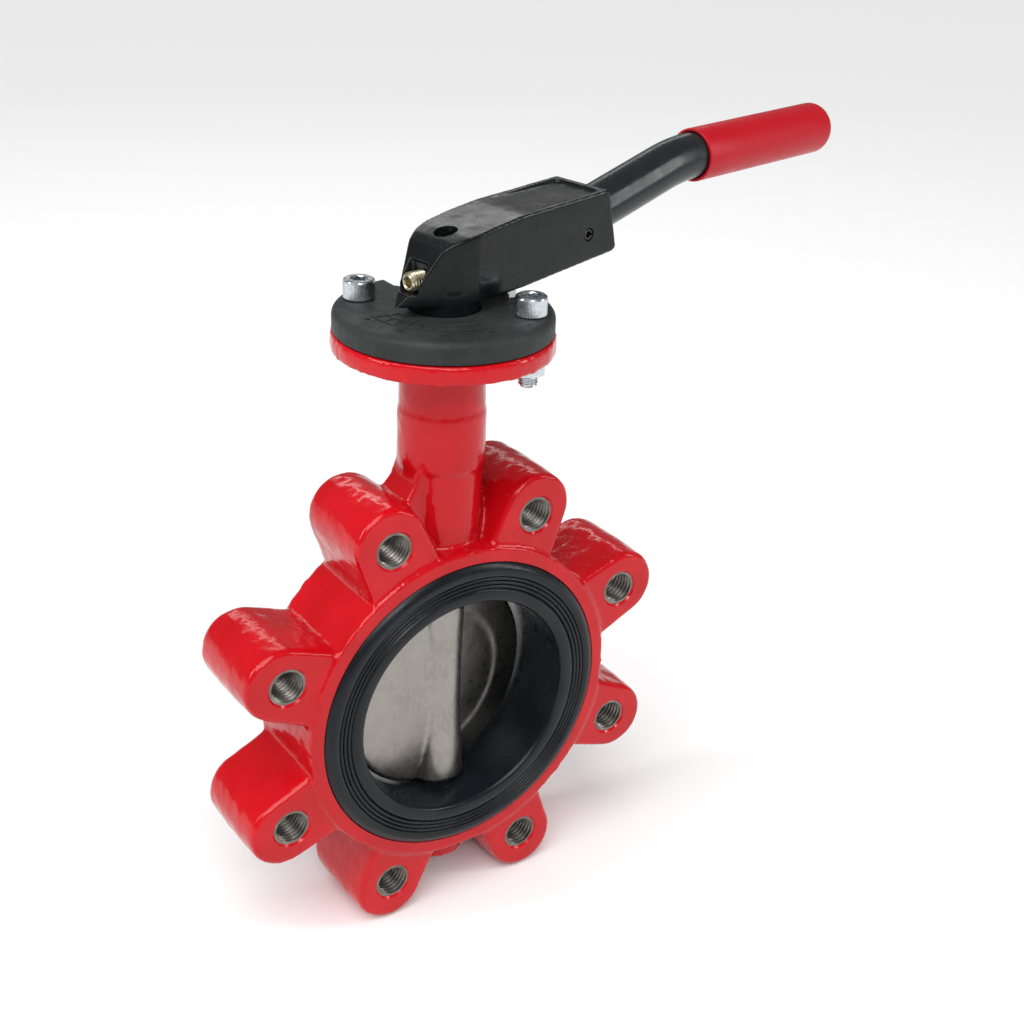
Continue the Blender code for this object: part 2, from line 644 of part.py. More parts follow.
def notched_edge():
    """Edge of the plate's rebate from the open stop back to the shut stop, with a notch at each position."""
    edge = [(-STOP_OFFSET, math.sqrt(radius**2 - STOP_OFFSET**2)) for radius in (PLATE_RADIUS, LAND_RADIUS)]
    root = LAND_RADIUS - NOTCH_DEPTH
    half = NOTCH_WIDTH / 2
    for index in reversed(range(NOTCH_COUNT)):
        turn = index * NOTCH_PITCH
        for radius, side in ((LAND_RADIUS, half), (root, half), (root, -half), (LAND_RADIUS, -half)):
            reach = math.sqrt(radius**2 - side**2)
            x = reach * math.cos(turn) - side * math.sin(turn)
            y = reach * math.sin(turn) + side * math.cos(turn)
            edge.append((x, y))
    edge += [(y, x) for x, y in reversed(edge[:2])]
    return edge


def make_notch_plate():
    """Make the plate: round, with the lever's hub hole, two screw holes and the notched rebate."""
    edge = notched_edge()
    start = math.atan2(edge[-1][1], edge[-1][0])
    end = math.atan2(edge[0][1], edge[0][0]) - math.tau
    rim = arc(PLATE_RADIUS, start, end, 48)[1:-1]
    loops = [edge + rim, circle(HUB_RADIUS + HUB_PLAY, steps=40)]
    loops += [circle(SCREW_RADIUS + TOUCH_GAP, place) for place in bolt_places()[::2]]
    plate = outline_solid("notch_plate", loops, PLATE_THICKNESS / 2)
    plate.location.z = (PLATE_BOTTOM + PLATE_TOP) / 2
    return finish(plate, GREY_PLASTIC)


def make_cap_screw(name, place):
    """Make a socket head screw that stands on the notch plate."""
    seat = PLATE_TOP + TOUCH_GAP
    top = seat + SCREW_HEAD_HEIGHT
    profile = [(0, top), (SCREW_HEAD_RADIUS, top), (SCREW_HEAD_RADIUS, seat), (SCREW_RADIUS, seat)]
    profile += [(SCREW_RADIUS, seat - SCREW_LENGTH), (0, seat - SCREW_LENGTH)]
    screw = turned(name, profile, segments=HOLE_SEGMENTS)
    corner = SCREW_HEX / math.sqrt(3)
    floor = top - SCREW_HEX_DEPTH
    socket = rod(name + "_socket", corner, floor, top + CUT_OVERSHOOT, segments=6, cutter=True)
    combine(screw, "DIFFERENCE", socket)
    for piece in (screw, socket):
        piece.location = (*place, 0)
    return finish(screw, BRIGHT_ZINC)


def make_hex_nut(name, place):
    """Make a hexagon nut under the flange."""
    top = FLANGE_BOTTOM - TOUCH_GAP
    foot = top - NUT_HEIGHT
    nut = rod(name, NUT_ACROSS_FLATS / math.sqrt(3), foot, top, segments=6)
    radius = SCREW_RADIUS + TOUCH_GAP
    hole = rod(name + "_hole", radius, foot - CUT_OVERSHOOT, top + CUT_OVERSHOOT, cutter=True)
    combine(nut, "DIFFERENCE", hole)
    for piece in (nut, hole):
        piece.location = (*place, 0)
    return finish(nut, BRIGHT_ZINC)


# ---------------------------------------------------------------- lever


def head_side_outline():
    """Side view of the lever head, as (distance from the stem, height)."""
    rear_top = HEAD_LENGTH - HEAD_REAR_LEAN
    points = [
        (-NOSE_REACH, HEAD_BOTTOM),
        (0, HEAD_BOTTOM),
        (HEAD_SHOULDER, HEAD_BOTTOM + HEAD_BOTTOM_RISE),
        (HEAD_LENGTH - HEAD_HEEL, HEAD_REAR_BOTTOM),
        (HEAD_LENGTH, HEAD_REAR_BOTTOM + HEAD_CHAMFER),
        (rear_top, HEAD_HEIGHT - HEAD_CHAMFER),
        (rear_top - HEAD_CHAMFER, HEAD_HEIGHT),
        (HEAD_SHOULDER, HEAD_SHOULDER_HEIGHT),
        (0, HEAD_CROWN_HEIGHT),
        (-BROW_REACH, BROW_HEIGHT),
        (-(BROW_REACH + NOSE_REACH) / 2, SET_SCREW_HEIGHT),
    ]
    return [(reach, PLATE_TOP + height) for reach, height in points]


def head_plan_outline():
    """Top view of the lever head: parallel sides that draw in to the pointer's tip."""
    half = HEAD_WIDTH / 2
    middle = (BROW_REACH + NOSE_REACH) / 2
    upper = [
        (HEAD_LENGTH + CUT_OVERSHOOT, half),
        (CHEEK_START, half),
        (-CHEEK_BEND, half - CHEEK_SET_IN),
        (-BROW_REACH, BROW_HALF_WIDTH),
        (-middle, BROW_HALF_WIDTH * NOSE_SHARE),
        (-NOSE_REACH, NOSE_HALF_WIDTH),
    ]
    return upper + [(x, -y) for x, y in reversed(upper)]


def head_cavity_outline():
    """Side view of the hollow in the lever head, open below and behind."""
    points = [
        (CAVITY_START, -CUT_OVERSHOOT),
        (HEAD_LENGTH + CUT_OVERSHOOT, -CUT_OVERSHOOT),
        (HEAD_LENGTH + CUT_OVERSHOOT, HEAD_HEIGHT - HEAD_ROOF),
        (HEAD_LENGTH - HEAD_REAR_LEAN, HEAD_HEIGHT - HEAD_ROOF),
        (HEAD_SHOULDER, HEAD_SHOULDER_HEIGHT - HEAD_ROOF - CAVITY_SHOULDER_DROP),
        (CAVITY_START, HEAD_SHOULDER_HEIGHT - HEAD_ROOF - CAVITY_FRONT_DROP),
    ]
    return [(reach, PLATE_TOP + height) for reach, height in points]


def make_lever_head(rotor):
    """Make the cast lever head with its hub, stem socket, hollow and holes."""
    half = HEAD_WIDTH / 2
    side = half + CUT_OVERSHOOT
    below = PLATE_TOP - HUB_DROP - CUT_OVERSHOOT
    top = PLATE_TOP + HEAD_HEIGHT
    links = {"parent": rotor, "cutter": True}
    head = outline_solid("lever_head", [head_side_outline()], side, axis="Y", parent=rotor)
    plan = outline_solid("head_plan", [head_plan_outline()], HEAD_HEIGHT, **links)
    plan.location.z = PLATE_TOP + HEAD_HEIGHT / 2
    combine(head, "INTERSECT", plan)
    hub_top = PLATE_TOP + HEAD_BOTTOM + CUT_OVERSHOOT
    hub = rod("lever_hub", HUB_RADIUS, PLATE_TOP - HUB_DROP, hub_top, segments=40, **links)
    combine(head, "UNION", hub)
    cavity = outline_solid("head_cavity", [head_cavity_outline()], half - HEAD_WALL, axis="Y", **links)
    low, high = (-SOCKET_HALF, -SOCKET_HALF, below), (SOCKET_HALF, SOCKET_HALF, STEM_TOP + TOUCH_GAP)
    socket = block("lever_socket", low, high, **links)
    crown_hole = rod("crown_hole", CROWN_HOLE_RADIUS, STEM_TOP - TOUCH_GAP, top, **links)
    round_top = SQUARE_START + TOUCH_GAP
    radius = STEM_RADIUS + TOUCH_GAP
    clearance = rod("stem_clearance", radius, below, round_top, segments=SHAFT_SEGMENTS, **links)
    nose = -NOSE_REACH - CUT_OVERSHOOT
    radius = SET_SCREW_RADIUS + TOUCH_GAP
    height = PLATE_TOP + SET_SCREW_HEIGHT
    nose_hole = rod("nose_hole", radius, nose, 0, axis="X", centre=(0, 0, height), **links)
    place = (PIN_REACH, 0, PIN_Z)
    pin_hole = rod("pin_hole", PIN_RADIUS + TOUCH_GAP, -side, side, axis="Y", centre=place, **links)
    combine(head, "DIFFERENCE", cavity, socket, crown_hole, clearance, nose_hole, pin_hole)
    return finish(head, BLACK_PAINT)


def make_set_screw(rotor):
    """Make the socket set screw that bears on the stem's square."""
    centre = (0, 0, PLATE_TOP + SET_SCREW_HEIGHT)
    tip = -STEM_SQUARE / 2 - TOUCH_GAP
    links = {"axis": "X", "centre": centre, "parent": rotor}
    screw = rod("set_screw", SET_SCREW_RADIUS, -SET_SCREW_REACH, tip, **links)
    corner = SET_SCREW_HEX / math.sqrt(3)
    outside = -SET_SCREW_REACH - CUT_OVERSHOOT
    floor = -SET_SCREW_REACH + SET_SCREW_HEX_DEPTH
    socket = rod("set_screw_socket", corner, outside, floor, segments=6, cutter=True, **links)
    combine(screw, "DIFFERENCE", socket)
    return finish(screw, YELLOW_ZINC)


def make_roll_pin(rotor):
    """Make the slotted spring pin that the tube turns on."""
    half_slot = math.asin(PIN_SLOT / 2 / PIN_RADIUS)
    inner = PIN_RADIUS - PIN_WALL
    inner_slot = math.asin(PIN_SLOT / 2 / inner)
    loop = arc(PIN_RADIUS, half_slot, math.tau - half_slot, 22)
    loop += arc(inner, math.tau - inner_slot, inner_slot, 22)
    pin = outline_solid("roll_pin", [loop], HEAD_WIDTH / 2 - PIN_INSET, axis="Y", parent=rotor)
    pin.location = (PIN_REACH, 0, PIN_Z)
    return finish(pin, TURNED_STEEL)


def along_tube(distance):
    """Point on the tube's sloping front stretch, measured from the pin, in the latch's frame."""
    return (distance * math.cos(TUBE_SLOPE), 0, distance * math.sin(TUBE_SLOPE))


def tube_path(front, rear):
    """Centre line of the tube: a sloping stretch, a bend and a flatter stretch under the grip."""
    steps = 6
    bend_start = along_tube(TUBE_STRAIGHT)
    points = [along_tube(front), bend_start]
    for index in range(1, steps + 1):
        slope = TUBE_SLOPE + (GRIP_SLOPE - TUBE_SLOPE) * index / steps
        x = bend_start[0] + TUBE_BEND_RADIUS * (math.sin(TUBE_SLOPE) - math.sin(slope))
        z = bend_start[2] + TUBE_BEND_RADIUS * (math.cos(slope) - math.cos(TUBE_SLOPE))
        points.append((x, 0, z))
    x, _, z = points[-1]
    points.append((x + rear * math.cos(GRIP_SLOPE), 0, z + rear * math.sin(GRIP_SLOPE)))
    return points


def make_lever_tube(latch):
    """Make the bent steel tube, cross-drilled for the pin."""
    rear = GRIP_LENGTH - GRIP_END - TOUCH_GAP
    tube = swept("lever_tube", tube_path(-TUBE_FRONT, rear), TUBE_RADIUS, 10, parent=latch)
    links = {"parent": latch, "cutter": True}
    bore_path = tube_path(-TUBE_FRONT - CUT_OVERSHOOT, rear + CUT_OVERSHOOT)
    bore = swept("tube_bore", bore_path, TUBE_RADIUS - TUBE_WALL, 8, **links)
    reach = TUBE_RADIUS + CUT_OVERSHOOT
    pin_hole = rod("tube_pin_hole", PIN_RADIUS + RUNNING_GAP, -reach, reach, axis="Y", **links)
    combine(tube, "DIFFERENCE", bore, pin_hole)
    return finish(tube, BLACK_PAINT)


def make_grip(latch):
    """Make the red sleeve with its round closed end."""
    inner = TUBE_RADIUS + TOUCH_GAP
    end = GRIP_LENGTH
    dome = arc(GRIP_ROUND, math.pi / 2, 0, 5, (GRIP_RADIUS - GRIP_ROUND, end - GRIP_ROUND))
    profile = [(0, end)] + dome + [(GRIP_RADIUS, 0), (inner, 0), (inner, end - GRIP_END), (0, end - GRIP_END)]
    grip = turned("grip", profile, segments=36, parent=latch)
    grip.location = tube_path(0, 0)[-1]
    grip.rotation_euler.y = math.pi / 2 - GRIP_SLOPE
    return finish(grip, RED_VINYL)


def make_latch_tooth(latch):
    """Make the pawl: a plug in the tube's front end with a plate that hooks down to the notches."""
    inner = LAND_RADIUS + LATCH_REST_GAP - PIN_REACH
    outer = inner + TOOTH_DEPTH
    foot = FLANGE_TOP + TOOTH_LIFT - PIN_Z
    front = along_tube(-TUBE_FRONT)
    tang = along_tube(-TUBE_FRONT + TANG_LENGTH)
    half = (TUBE_RADIUS - TUBE_WALL) * TANG_SHARE
    outline = [
        (inner, foot),
        (outer, foot),
        (outer, PLATE_TOP + HEAD_BOTTOM - PIN_Z),
        (front[0], front[2] - half),
        (tang[0], tang[2] - half),
        (tang[0], tang[2] + half),
        (front[0], front[2] + half),
        (inner, front[2] + half - TOOTH_NECK_DROP),
    ]
    tooth = outline_solid("latch_tooth", [outline], LATCH_THICKNESS / 2, axis="Y", parent=latch)
    radius = TUBE_RADIUS - TUBE_WALL - TOUCH_GAP
    plug = rod("latch_plug", radius, 0, LATCH_PLUG_LENGTH, axis="X", parent=latch, cutter=True)
    plug.location = along_tube(-TUBE_FRONT + LATCH_PLUG_INSET)
    plug.rotation_euler.y = -TUBE_SLOPE
    combine(tooth, "UNION", plug)
    return finish(tooth, TURNED_STEEL)


def make_latch_spring(rotor):
    """Make the small coil that draws the tooth into its notch."""
    steps = 12
    start = CAVITY_START + SPRING_END_GAP
    end = LAND_RADIUS + LATCH_REST_GAP - SPRING_END_GAP
    height = PIN_Z - SPRING_DROP
    points = []
    for index in range(SPRING_TURNS * steps + 1):
        turn = math.tau * index / steps
        reach = start + (end - start) * index / (SPRING_TURNS * steps)
        points.append((reach, SPRING_RADIUS * math.cos(turn), height + SPRING_RADIUS * math.sin(turn)))
    spring = swept("latch_spring", points, SPRING_WIRE_RADIUS, 2, parent=rotor)
    return finish(spring, TURNED_STEEL)


# ---------------------------------------------------------------- assembly


def new_axis(name, place, angle=0.0, parent=None):
    """Make an empty on a joint's axis."""
    axis = bpy.data.objects.new(name, None)
    PARTS.objects.link(axis)
    axis.location = place
    axis.rotation_euler.z = angle
    axis.parent = parent
    return axis


def build():
    """Build the whole valve."""
    make_body()
    make_liner()
    make_bearings()
    make_bottom_plug()
    make_notch_plate()
    for side, place in zip(("left", "right"), bolt_places()[::2]):
        make_cap_screw(f"cap_screw_{side}", place)
        make_hex_nut(f"hex_nut_{side}", place)
    rotor = new_axis("stem_axis", (0, 0, 0), OPEN_ANGLE)
    make_disc(rotor)
    make_upper_stem(rotor)
    make_lower_stem(rotor)
    make_stem_seals(rotor)
    make_retaining_ring(rotor)
    make_lever_head(rotor)
    make_set_screw(rotor)
    make_roll_pin(rotor)
    make_latch_spring(rotor)
    latch = new_axis("latch_axis", (PIN_REACH, 0, PIN_Z), parent=rotor)
    make_lever_tube(latch)
    make_grip(latch)
    make_latch_tooth(latch)


clear_scene()
PARTS = new_collection("butterfly_valve")
CUTTERS = new_collection("cutters")
build()
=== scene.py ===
"""Finished surfaces of the lug-type butterfly valve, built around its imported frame.

Lengths are metres: sizes are written in millimetres times MM. The pipe runs along Y and the stem along Z.
Pieces of the lever are made in the lever's own frame, X along the lever, and are turned into place with it.
"""

import json
from math import atan2, ceil, cos, hypot, pi, radians, sin, sqrt, tan, tau

import bmesh
import bpy
import numpy as np
from mathutils import Matrix, Vector, noise


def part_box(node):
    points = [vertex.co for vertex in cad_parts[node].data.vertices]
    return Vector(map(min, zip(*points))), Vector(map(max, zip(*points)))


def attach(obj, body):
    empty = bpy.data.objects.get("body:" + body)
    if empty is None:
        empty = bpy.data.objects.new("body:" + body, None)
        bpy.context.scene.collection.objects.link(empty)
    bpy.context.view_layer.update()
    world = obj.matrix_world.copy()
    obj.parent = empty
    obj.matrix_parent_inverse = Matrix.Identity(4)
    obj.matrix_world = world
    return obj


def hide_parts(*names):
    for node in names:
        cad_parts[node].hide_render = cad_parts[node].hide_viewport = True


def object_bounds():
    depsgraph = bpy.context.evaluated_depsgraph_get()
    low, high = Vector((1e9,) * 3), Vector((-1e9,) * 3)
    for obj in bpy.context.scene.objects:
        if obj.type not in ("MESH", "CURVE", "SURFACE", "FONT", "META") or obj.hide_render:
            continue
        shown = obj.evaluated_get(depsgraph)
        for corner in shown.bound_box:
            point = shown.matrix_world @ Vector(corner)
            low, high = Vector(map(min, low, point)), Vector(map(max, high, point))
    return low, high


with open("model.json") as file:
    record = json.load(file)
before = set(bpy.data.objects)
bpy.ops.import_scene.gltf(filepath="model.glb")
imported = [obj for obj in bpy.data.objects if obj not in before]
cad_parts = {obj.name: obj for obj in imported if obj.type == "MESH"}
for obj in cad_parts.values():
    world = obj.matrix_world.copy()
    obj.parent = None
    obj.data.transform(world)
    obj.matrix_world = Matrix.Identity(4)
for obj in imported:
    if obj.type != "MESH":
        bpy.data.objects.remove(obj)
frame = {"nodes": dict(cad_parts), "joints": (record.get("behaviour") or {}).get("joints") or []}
CAD_LOW, CAD_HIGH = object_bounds()

MM = 0.001
TOUCH_GAP = 0.3 * MM
PAST = 5.0 * MM  # how far a cutter runs on past the surface it opens
CLEAR = 1.0 * MM  # the same for the small cutters of screws, nuts and pins
SLIP = 0.05 * MM  # keeps surfaces that fit together from lying in one another

# ---------------- places from the frame

BODY_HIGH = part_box("body")[1]
LINER_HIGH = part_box("liner")[1]
PLATE_LOW, PLATE_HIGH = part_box("notch_plate")
HALF_FACE = LINER_HIGH.y
LINER_FACE_RADIUS = LINER_HIGH.x
FLANGE_TOP = BODY_HIGH.z
FLANGE_RADIUS = BODY_HIGH.y
BOSS_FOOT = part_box("bottom_plug")[0].z
PLATE_BOTTOM = PLATE_LOW.z
PLATE_TOP = PLATE_HIGH.z
PLATE_RADIUS = -PLATE_LOW.x
DISC_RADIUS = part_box("disc")[1].z
LATCH_JOINT = next(joint for joint in frame["joints"] if joint["name"] == "latch_lift")
PIN_PLACE = Vector(LATCH_JOINT["pos_m"])
OPEN_ANGLE = atan2(PIN_PLACE.y, PIN_PLACE.x)
PIN_REACH = hypot(PIN_PLACE.x, PIN_PLACE.y)
PIN_Z = PIN_PLACE.z

# ---------------- sizes

BORE_RADIUS = 50.0 * MM
LINER_RADIUS = 58.0 * MM
LIP_FLOOR = HALF_FACE - 7.2 * MM
RING_RADIUS = 75.0 * MM
RING_HALF = HALF_FACE - 2.0 * MM
LUG_HALF_DEPTH = RING_HALF - 1.8 * MM
LUG_COUNT = 8
LUG_PITCH_RADIUS = RING_RADIUS + 15.0 * MM
LUG_HALF_WIDTH = 16.0 * MM
LUG_END_REACH = 18.6 * MM
LUG_FLARE = 4.0 * MM
LUG_SECTIONS = (  # millimetres along Y, and how much wider than LUG_HALF_WIDTH the lug is there
    (-22.2, -1.1), (-21.7, -0.3), (-20.6, 0.2), (-8.0, 0.8),
    (8.0, 0.8), (19.6, 0.6), (21.2, -0.4), (22.2, -1.6),
)
NECK_RADIUS = 18.0 * MM
NECK_TAPER = 0.4 * MM
COLLAR_STEP = 0.6 * MM
COLLAR_CHAMFER = 0.4 * MM
COLLAR_TOP = RING_RADIUS + 57.0 * MM
COLLAR_FOOT = RING_RADIUS + 33.5 * MM
WEB_HALF_DEPTH = 10.5 * MM
WEB_OUTLINE = (  # millimetres from the neck's axis and the collar's foot
    (-16.5, 0.0), (-18.5, -6.0), (-22.5, -10.5), (-27.0, -13.0),
    (-8.0, -42.5), (10.0, -42.5), (13.0, -10.0), (16.0, 0.0),
)
BOSS_RADIUS = 13.8 * MM
FLANGE_THICKNESS = 8.0 * MM
FLANGE_BOTTOM = FLANGE_TOP - FLANGE_THICKNESS
FLANGE_FILLET = 4.0 * MM
BOLT_CIRCLE_RADIUS = 35.0 * MM
BOLT_PLAY = 0.5 * MM
STEM_RADIUS = 8.0 * MM
STEM_BORE_RADIUS = 10.28 * MM
RECESS_RADIUS = 12.6 * MM
RECESS_FLOOR = FLANGE_TOP - 7.0 * MM
LUG_THREAD_CORE = 7.0 * MM
LUG_THREAD_ROOT = 7.95 * MM
LUG_THREAD_PITCH = 2.0 * MM
LUG_MOUTH = 0.9 * MM
THREAD_TIP_SHARE = 0.86
SLEEVE_WALL = 0.35 * MM
CAST_GRAIN = 0.4 * MM
FLANGE_GRAIN_SHARE = 1.6

LINER_OUTER = (  # radius and depth below the face, in millimetres: the rounded outer edge
    (67.9, 1.5), (66.4, 0.5), (65.6, 0.1), (64.8, 0.0), (62.9, 0.0), (62.5, 0.25),
)
LINER_INNER = ((56.6, 1.1), (56.3, 0.3), (55.6, 0.0), (53.2, 0.1))
LINER_EDGE_DROP = 2.2 * MM
RIDGE_RADII = (61.4 * MM, 59.6 * MM, 57.8 * MM)
RIDGE_HALF_WIDTH = 0.85 * MM
RIDGE_HEIGHT = 1.15 * MM
RIDGE_FOOT = 1.25 * MM
MOUTH_STEP = 0.4 * MM
MOUTH_DROP = 0.2 * MM
MOUTH_ROUND = 2.2 * MM
MOUTH_DEPTH = 9.0 * MM

DISC_EDGE = 2.7 * MM
DISC_EDGE_SPAN = 2.72 * MM  # a little more than DISC_EDGE, so that the rim stays open
DISC_EDGE_HALF = 2.6 * MM
DISC_CROWN = 3.9 * MM
DISC_SUNK_HALF = 1.8 * MM
DISC_STEP = 0.8 * MM
DISC_STEP_START = 31.8 * MM
DISC_STEP_END = 34.8 * MM
DISC_FADE = 1.5 * MM  # how far from the hub's middle the full side turns into the sunk one
DISC_HUB_RADIUS = 10.9 * MM
DISC_HUB_WAIST = (8.0 * MM, -6.0 * MM)
DISC_HUB_REACH = 46.0 * MM
DISC_HUB_SUNK = 0.25 * MM
DISC_HUB_TOP_FLARE = 0.7 * MM
DISC_HUB_FOOT_FLARE = 1.6 * MM
POLISHED_WIDTH = 2.4 * MM
POLISHED_HALF = 3.4 * MM
# where the painted shade on the disc's sunk side begins, and how far it reaches either side of the disc's
# middle
PAINTED_SHADE_START = 9.5 * MM
PAINTED_SHADE_HALF = 5.0 * MM
DISC_SOCKET_DEPTH = 25.0 * MM

LAND_RADIUS = 33.0 * MM
NOTCH_DEPTH = 3.0 * MM
NOTCH_WIDTH = 4.0 * MM
NOTCH_COUNT = 10
NOTCH_PITCH = radians(10)
STOP_OFFSET = 3.5 * MM
PLATE_ROUND = 3.2 * MM
HUB_RADIUS = 14.3 * MM
HUB_PLAY = 0.5 * MM
HUB_DROP = 7.5 * MM
SCALE_RADII = (20.5 * MM, 25.5 * MM, 31.5 * MM)
SCALE_START = radians(176)
SCALE_END = radians(274)
MARK_HEIGHT = 0.35 * MM
MARK_HALF_WIDTH = 0.35 * MM
TICK_HALF_WIDTH = 0.3 * MM
MARK_ROOT = 0.4 * MM  # how far a mark is sunk into the plate
LONG_TICK = 3  # every third tick is long and has a number
NUMBER_SIZE = 4.2 * MM
NUMBER_RADIUS = 35.0 * MM

SCREW_RADIUS = 4.0 * MM
SCREW_LENGTH = 30.0 * MM
SCREW_PITCH = 1.25 * MM
SCREW_HEAD_RADIUS = 6.5 * MM
SCREW_HEAD_HEIGHT = 8.0 * MM
SCREW_THREAD_DEPTH = 0.65 * MM
SCREW_PLAIN_LENGTH = 15.0 * MM
SCREW_SOCKET = 6.0 * MM
SCREW_SOCKET_DEPTH = 4.0 * MM
KNURLS = 72
KNURL_DEPTH = 0.10 * MM
KNURL_START = 0.4 * MM
KNURL_END = 6.8 * MM
SCREW_MOUTH = (3.0 * MM, 0.6 * MM)  # throat radius and depth of the dish round the socket
DRILL_RADIUS = 2.9 * MM
DRILL_SHOULDER = 4.4 * MM
DRILL_POINT = 5.2 * MM
THREAD_SHAVE = 0.02 * MM
SHANK_OVERLAP = 0.5 * MM
THREAD_OVERLAP = 0.3 * MM
SCREW_CHAMFER = 0.9 * MM
SCREW_HEAD_PROFILE = (  # millimetres in from the head's side, and up from its seat
    (0.35, 0.0), (0.0, 0.35), (0.0, 0.7), (0.0, 6.5), (0.0, 7.0), (0.25, 7.6), (0.9, 8.0),
)
NUT_FLATS = 13.0 * MM
NUT_HEIGHT = 6.8 * MM
NUT_CHAMFER = 0.2 * MM
NUT_ROUND_MARGIN = 0.4 * MM
NUT_DISH = 0.4 * MM
NUT_DISH_WIDTH = 1.5 * MM
NUT_TURN = 0.3

HEAD_WIDTH = 30.8 * MM
HEAD_WALL = 3.3 * MM
HEAD_ROOF = 2.3 * MM
HEAD_BOTTOM = 4.0 * MM
HEAD_LENGTH = 83.0 * MM
HEAD_HEIGHT = 39.0 * MM
HEAD_REAR_TOP = 77.0 * MM
HEAD_SHOULDER = 28.5 * MM
HEAD_SHOULDER_HEIGHT = 35.6 * MM
HEAD_CROWN_HEIGHT = 30.6 * MM
BROW_REACH = 10.0 * MM
BROW_HEIGHT = 26.5 * MM
BROW_HALF_WIDTH = 10.4 * MM
NOSE_REACH = 25.5 * MM
NOSE_HALF_WIDTH = 0.8 * MM
NOSE_MIDDLE_HEIGHT = 13.2 * MM
NOSE_MIDDLE_SHARE = 0.58
HEAD_ARCH = ((14.0 * MM, 33.4 * MM), (0, HEAD_CROWN_HEIGHT), (-6.0 * MM, 28.9 * MM))
HEAD_BELLY_RISE = 2.0 * MM
HEAD_REAR_CHAMFER = (2.0 * MM, 1.5 * MM)
HEAD_TOP_CHAMFER = 0.8 * MM
CHEEK_START = 4.0 * MM
CHEEK_END = -3.0 * MM
CHEEK_TAPER = 1.6 * MM
PANEL_FRONT = 33.0 * MM
PANEL_REAR = 73.2 * MM
PANEL_HALF_WIDTH = 12.2 * MM
PANEL_CORNER = 2.0 * MM
PANEL_TILT = radians(2.0)
POCKET_REACH = (12.5 * MM, 24.0 * MM)
POCKET_HEIGHT = (-4.0 * MM, 7.5 * MM)
POCKET_HALF_WIDTH = 5.2 * MM
HEAD_REAR_BOTTOM = 12.3 * MM
CAVITY_START = 24.0 * MM
CAVITY_DROP = (0.5 * MM, 1.5 * MM)
ROUND_STEM_RISE = 3.0 * MM
CROWN_HOLE_RADIUS = 4.8 * MM
SOCKET_HALF = 5.8 * MM
STEM_TOP = PLATE_TOP + HEAD_CROWN_HEIGHT - 7.0 * MM
SET_SCREW_Z = PLATE_TOP + 13.2 * MM
SET_SCREW_REACH = 19.2 * MM
SET_SCREW_TIP = 5.8 * MM
SET_SCREW_SOCKET = 4.0 * MM
SET_SCREW_THREAD_DEPTH = 0.7 * MM
SET_SCREW_CHAMFER = 0.7 * MM
SET_SCREW_MOUTH = (2.1 * MM, 0.5 * MM)
SET_SCREW_TURN = radians(20)
PIN_RADIUS = 2.5 * MM
PIN_WALL = 0.9 * MM
PIN_SLOT_HALF = 0.5 * MM
PIN_FIT = 0.08 * MM
PIN_SUNK = 0.4 * MM
PIN_END = (0.45 * MM, 0.7 * MM)

TUBE_RADIUS = 10.2 * MM
TUBE_WALL = 2.4 * MM
TUBE_SLOPE = radians(15.5)
TUBE_FRONT = 21.0 * MM
TUBE_STRAIGHT = 62.5 * MM
TUBE_BEND_RADIUS = 85.0 * MM
GRIP_SLOPE = radians(1.5)
GRIP_LENGTH = 94.5 * MM
GRIP_WALL = 1.4 * MM
GRIP_END = 4.0 * MM
GRIP_RADIUS = TUBE_RADIUS + TOUCH_GAP + GRIP_WALL
GRIP_SHAVE = 0.1 * MM
GRIP_ROUND = 7.0 * MM
GRIP_LIP = 0.5 * MM
GRIP_INNER_LIP = 0.4 * MM
GRIP_RINGS = (60.0 * MM, 20.0 * MM)  # keep the shading even along the sleeve

# ---------------- mesh helpers

TURN = {
    "X": Matrix.Rotation(pi / 2, 4, "Y"),
    "Y": Matrix.Rotation(pi / 2, 4, "X"),
    "Z": Matrix.Identity(4),
}
LEVER_FRAME = Matrix.Rotation(OPEN_ANGLE, 4, "Z")
LATCH_FRAME = LEVER_FRAME @ Matrix.Translation((PIN_REACH, 0, PIN_Z))


def link(name, mesh):
    """Put a mesh in the scene."""
    obj = bpy.data.objects.new(name, mesh)
    bpy.context.scene.collection.objects.link(obj)
    return obj


def from_arrays(name, points, faces):
    """Make an object from points and faces, with faces pointing out."""
    mesh = bpy.data.meshes.new(name)
    mesh.from_pydata([tuple(p) for p in points], [], faces)
    bm = bmesh.new()
    bm.from_mesh(mesh)
    bmesh.ops.remove_doubles(bm, verts=bm.verts, dist=0.002 * MM)
    bmesh.ops.dissolve_degenerate(bm, edges=bm.edges, dist=0.001 * MM)
    bmesh.ops.recalc_face_normals(bm, faces=bm.faces)
    bm.to_mesh(mesh)
    bm.free()
    return link(name, mesh)


def grid_faces(rows, columns, wrap_rows=False):
    """Quads of a grid of points whose columns wrap round."""
    faces = []
    for row in range(rows if wrap_rows else rows - 1):
        here, below = row * columns, (row + 1) % rows * columns
        for column in range(columns):
            after = (column + 1) % columns
            faces.append((here + column, here + after, below + after, below + column))
    return faces


def lathe(name, profile, axis="Z", segments=96, closed=False, wobble=None):
    """Turn a profile of (radius, height) points about an axis.

    A profile that starts and ends at radius 0 is solid.
    """
    points = []
    for radius, height in profile:
        for column in range(segments):
            angle = tau * column / segments
            reach = radius if wobble is None else wobble(radius, height, column)
            points.append((reach * cos(angle), reach * sin(angle), height))
    obj = from_arrays(name, points, grid_faces(len(profile), segments, wrap_rows=closed))
    obj.data.transform(TURN[axis])
    return obj


def cylinder(name, radius, low, high, axis="Z", centre=(0, 0, 0), segments=64):
    """A cylinder along an axis: one along Y reaches as far each way."""
    obj = lathe(name, [(0, high), (radius, high), (radius, low), (0, low)], axis, segments)
    obj.data.transform(Matrix.Translation(centre))
    return obj


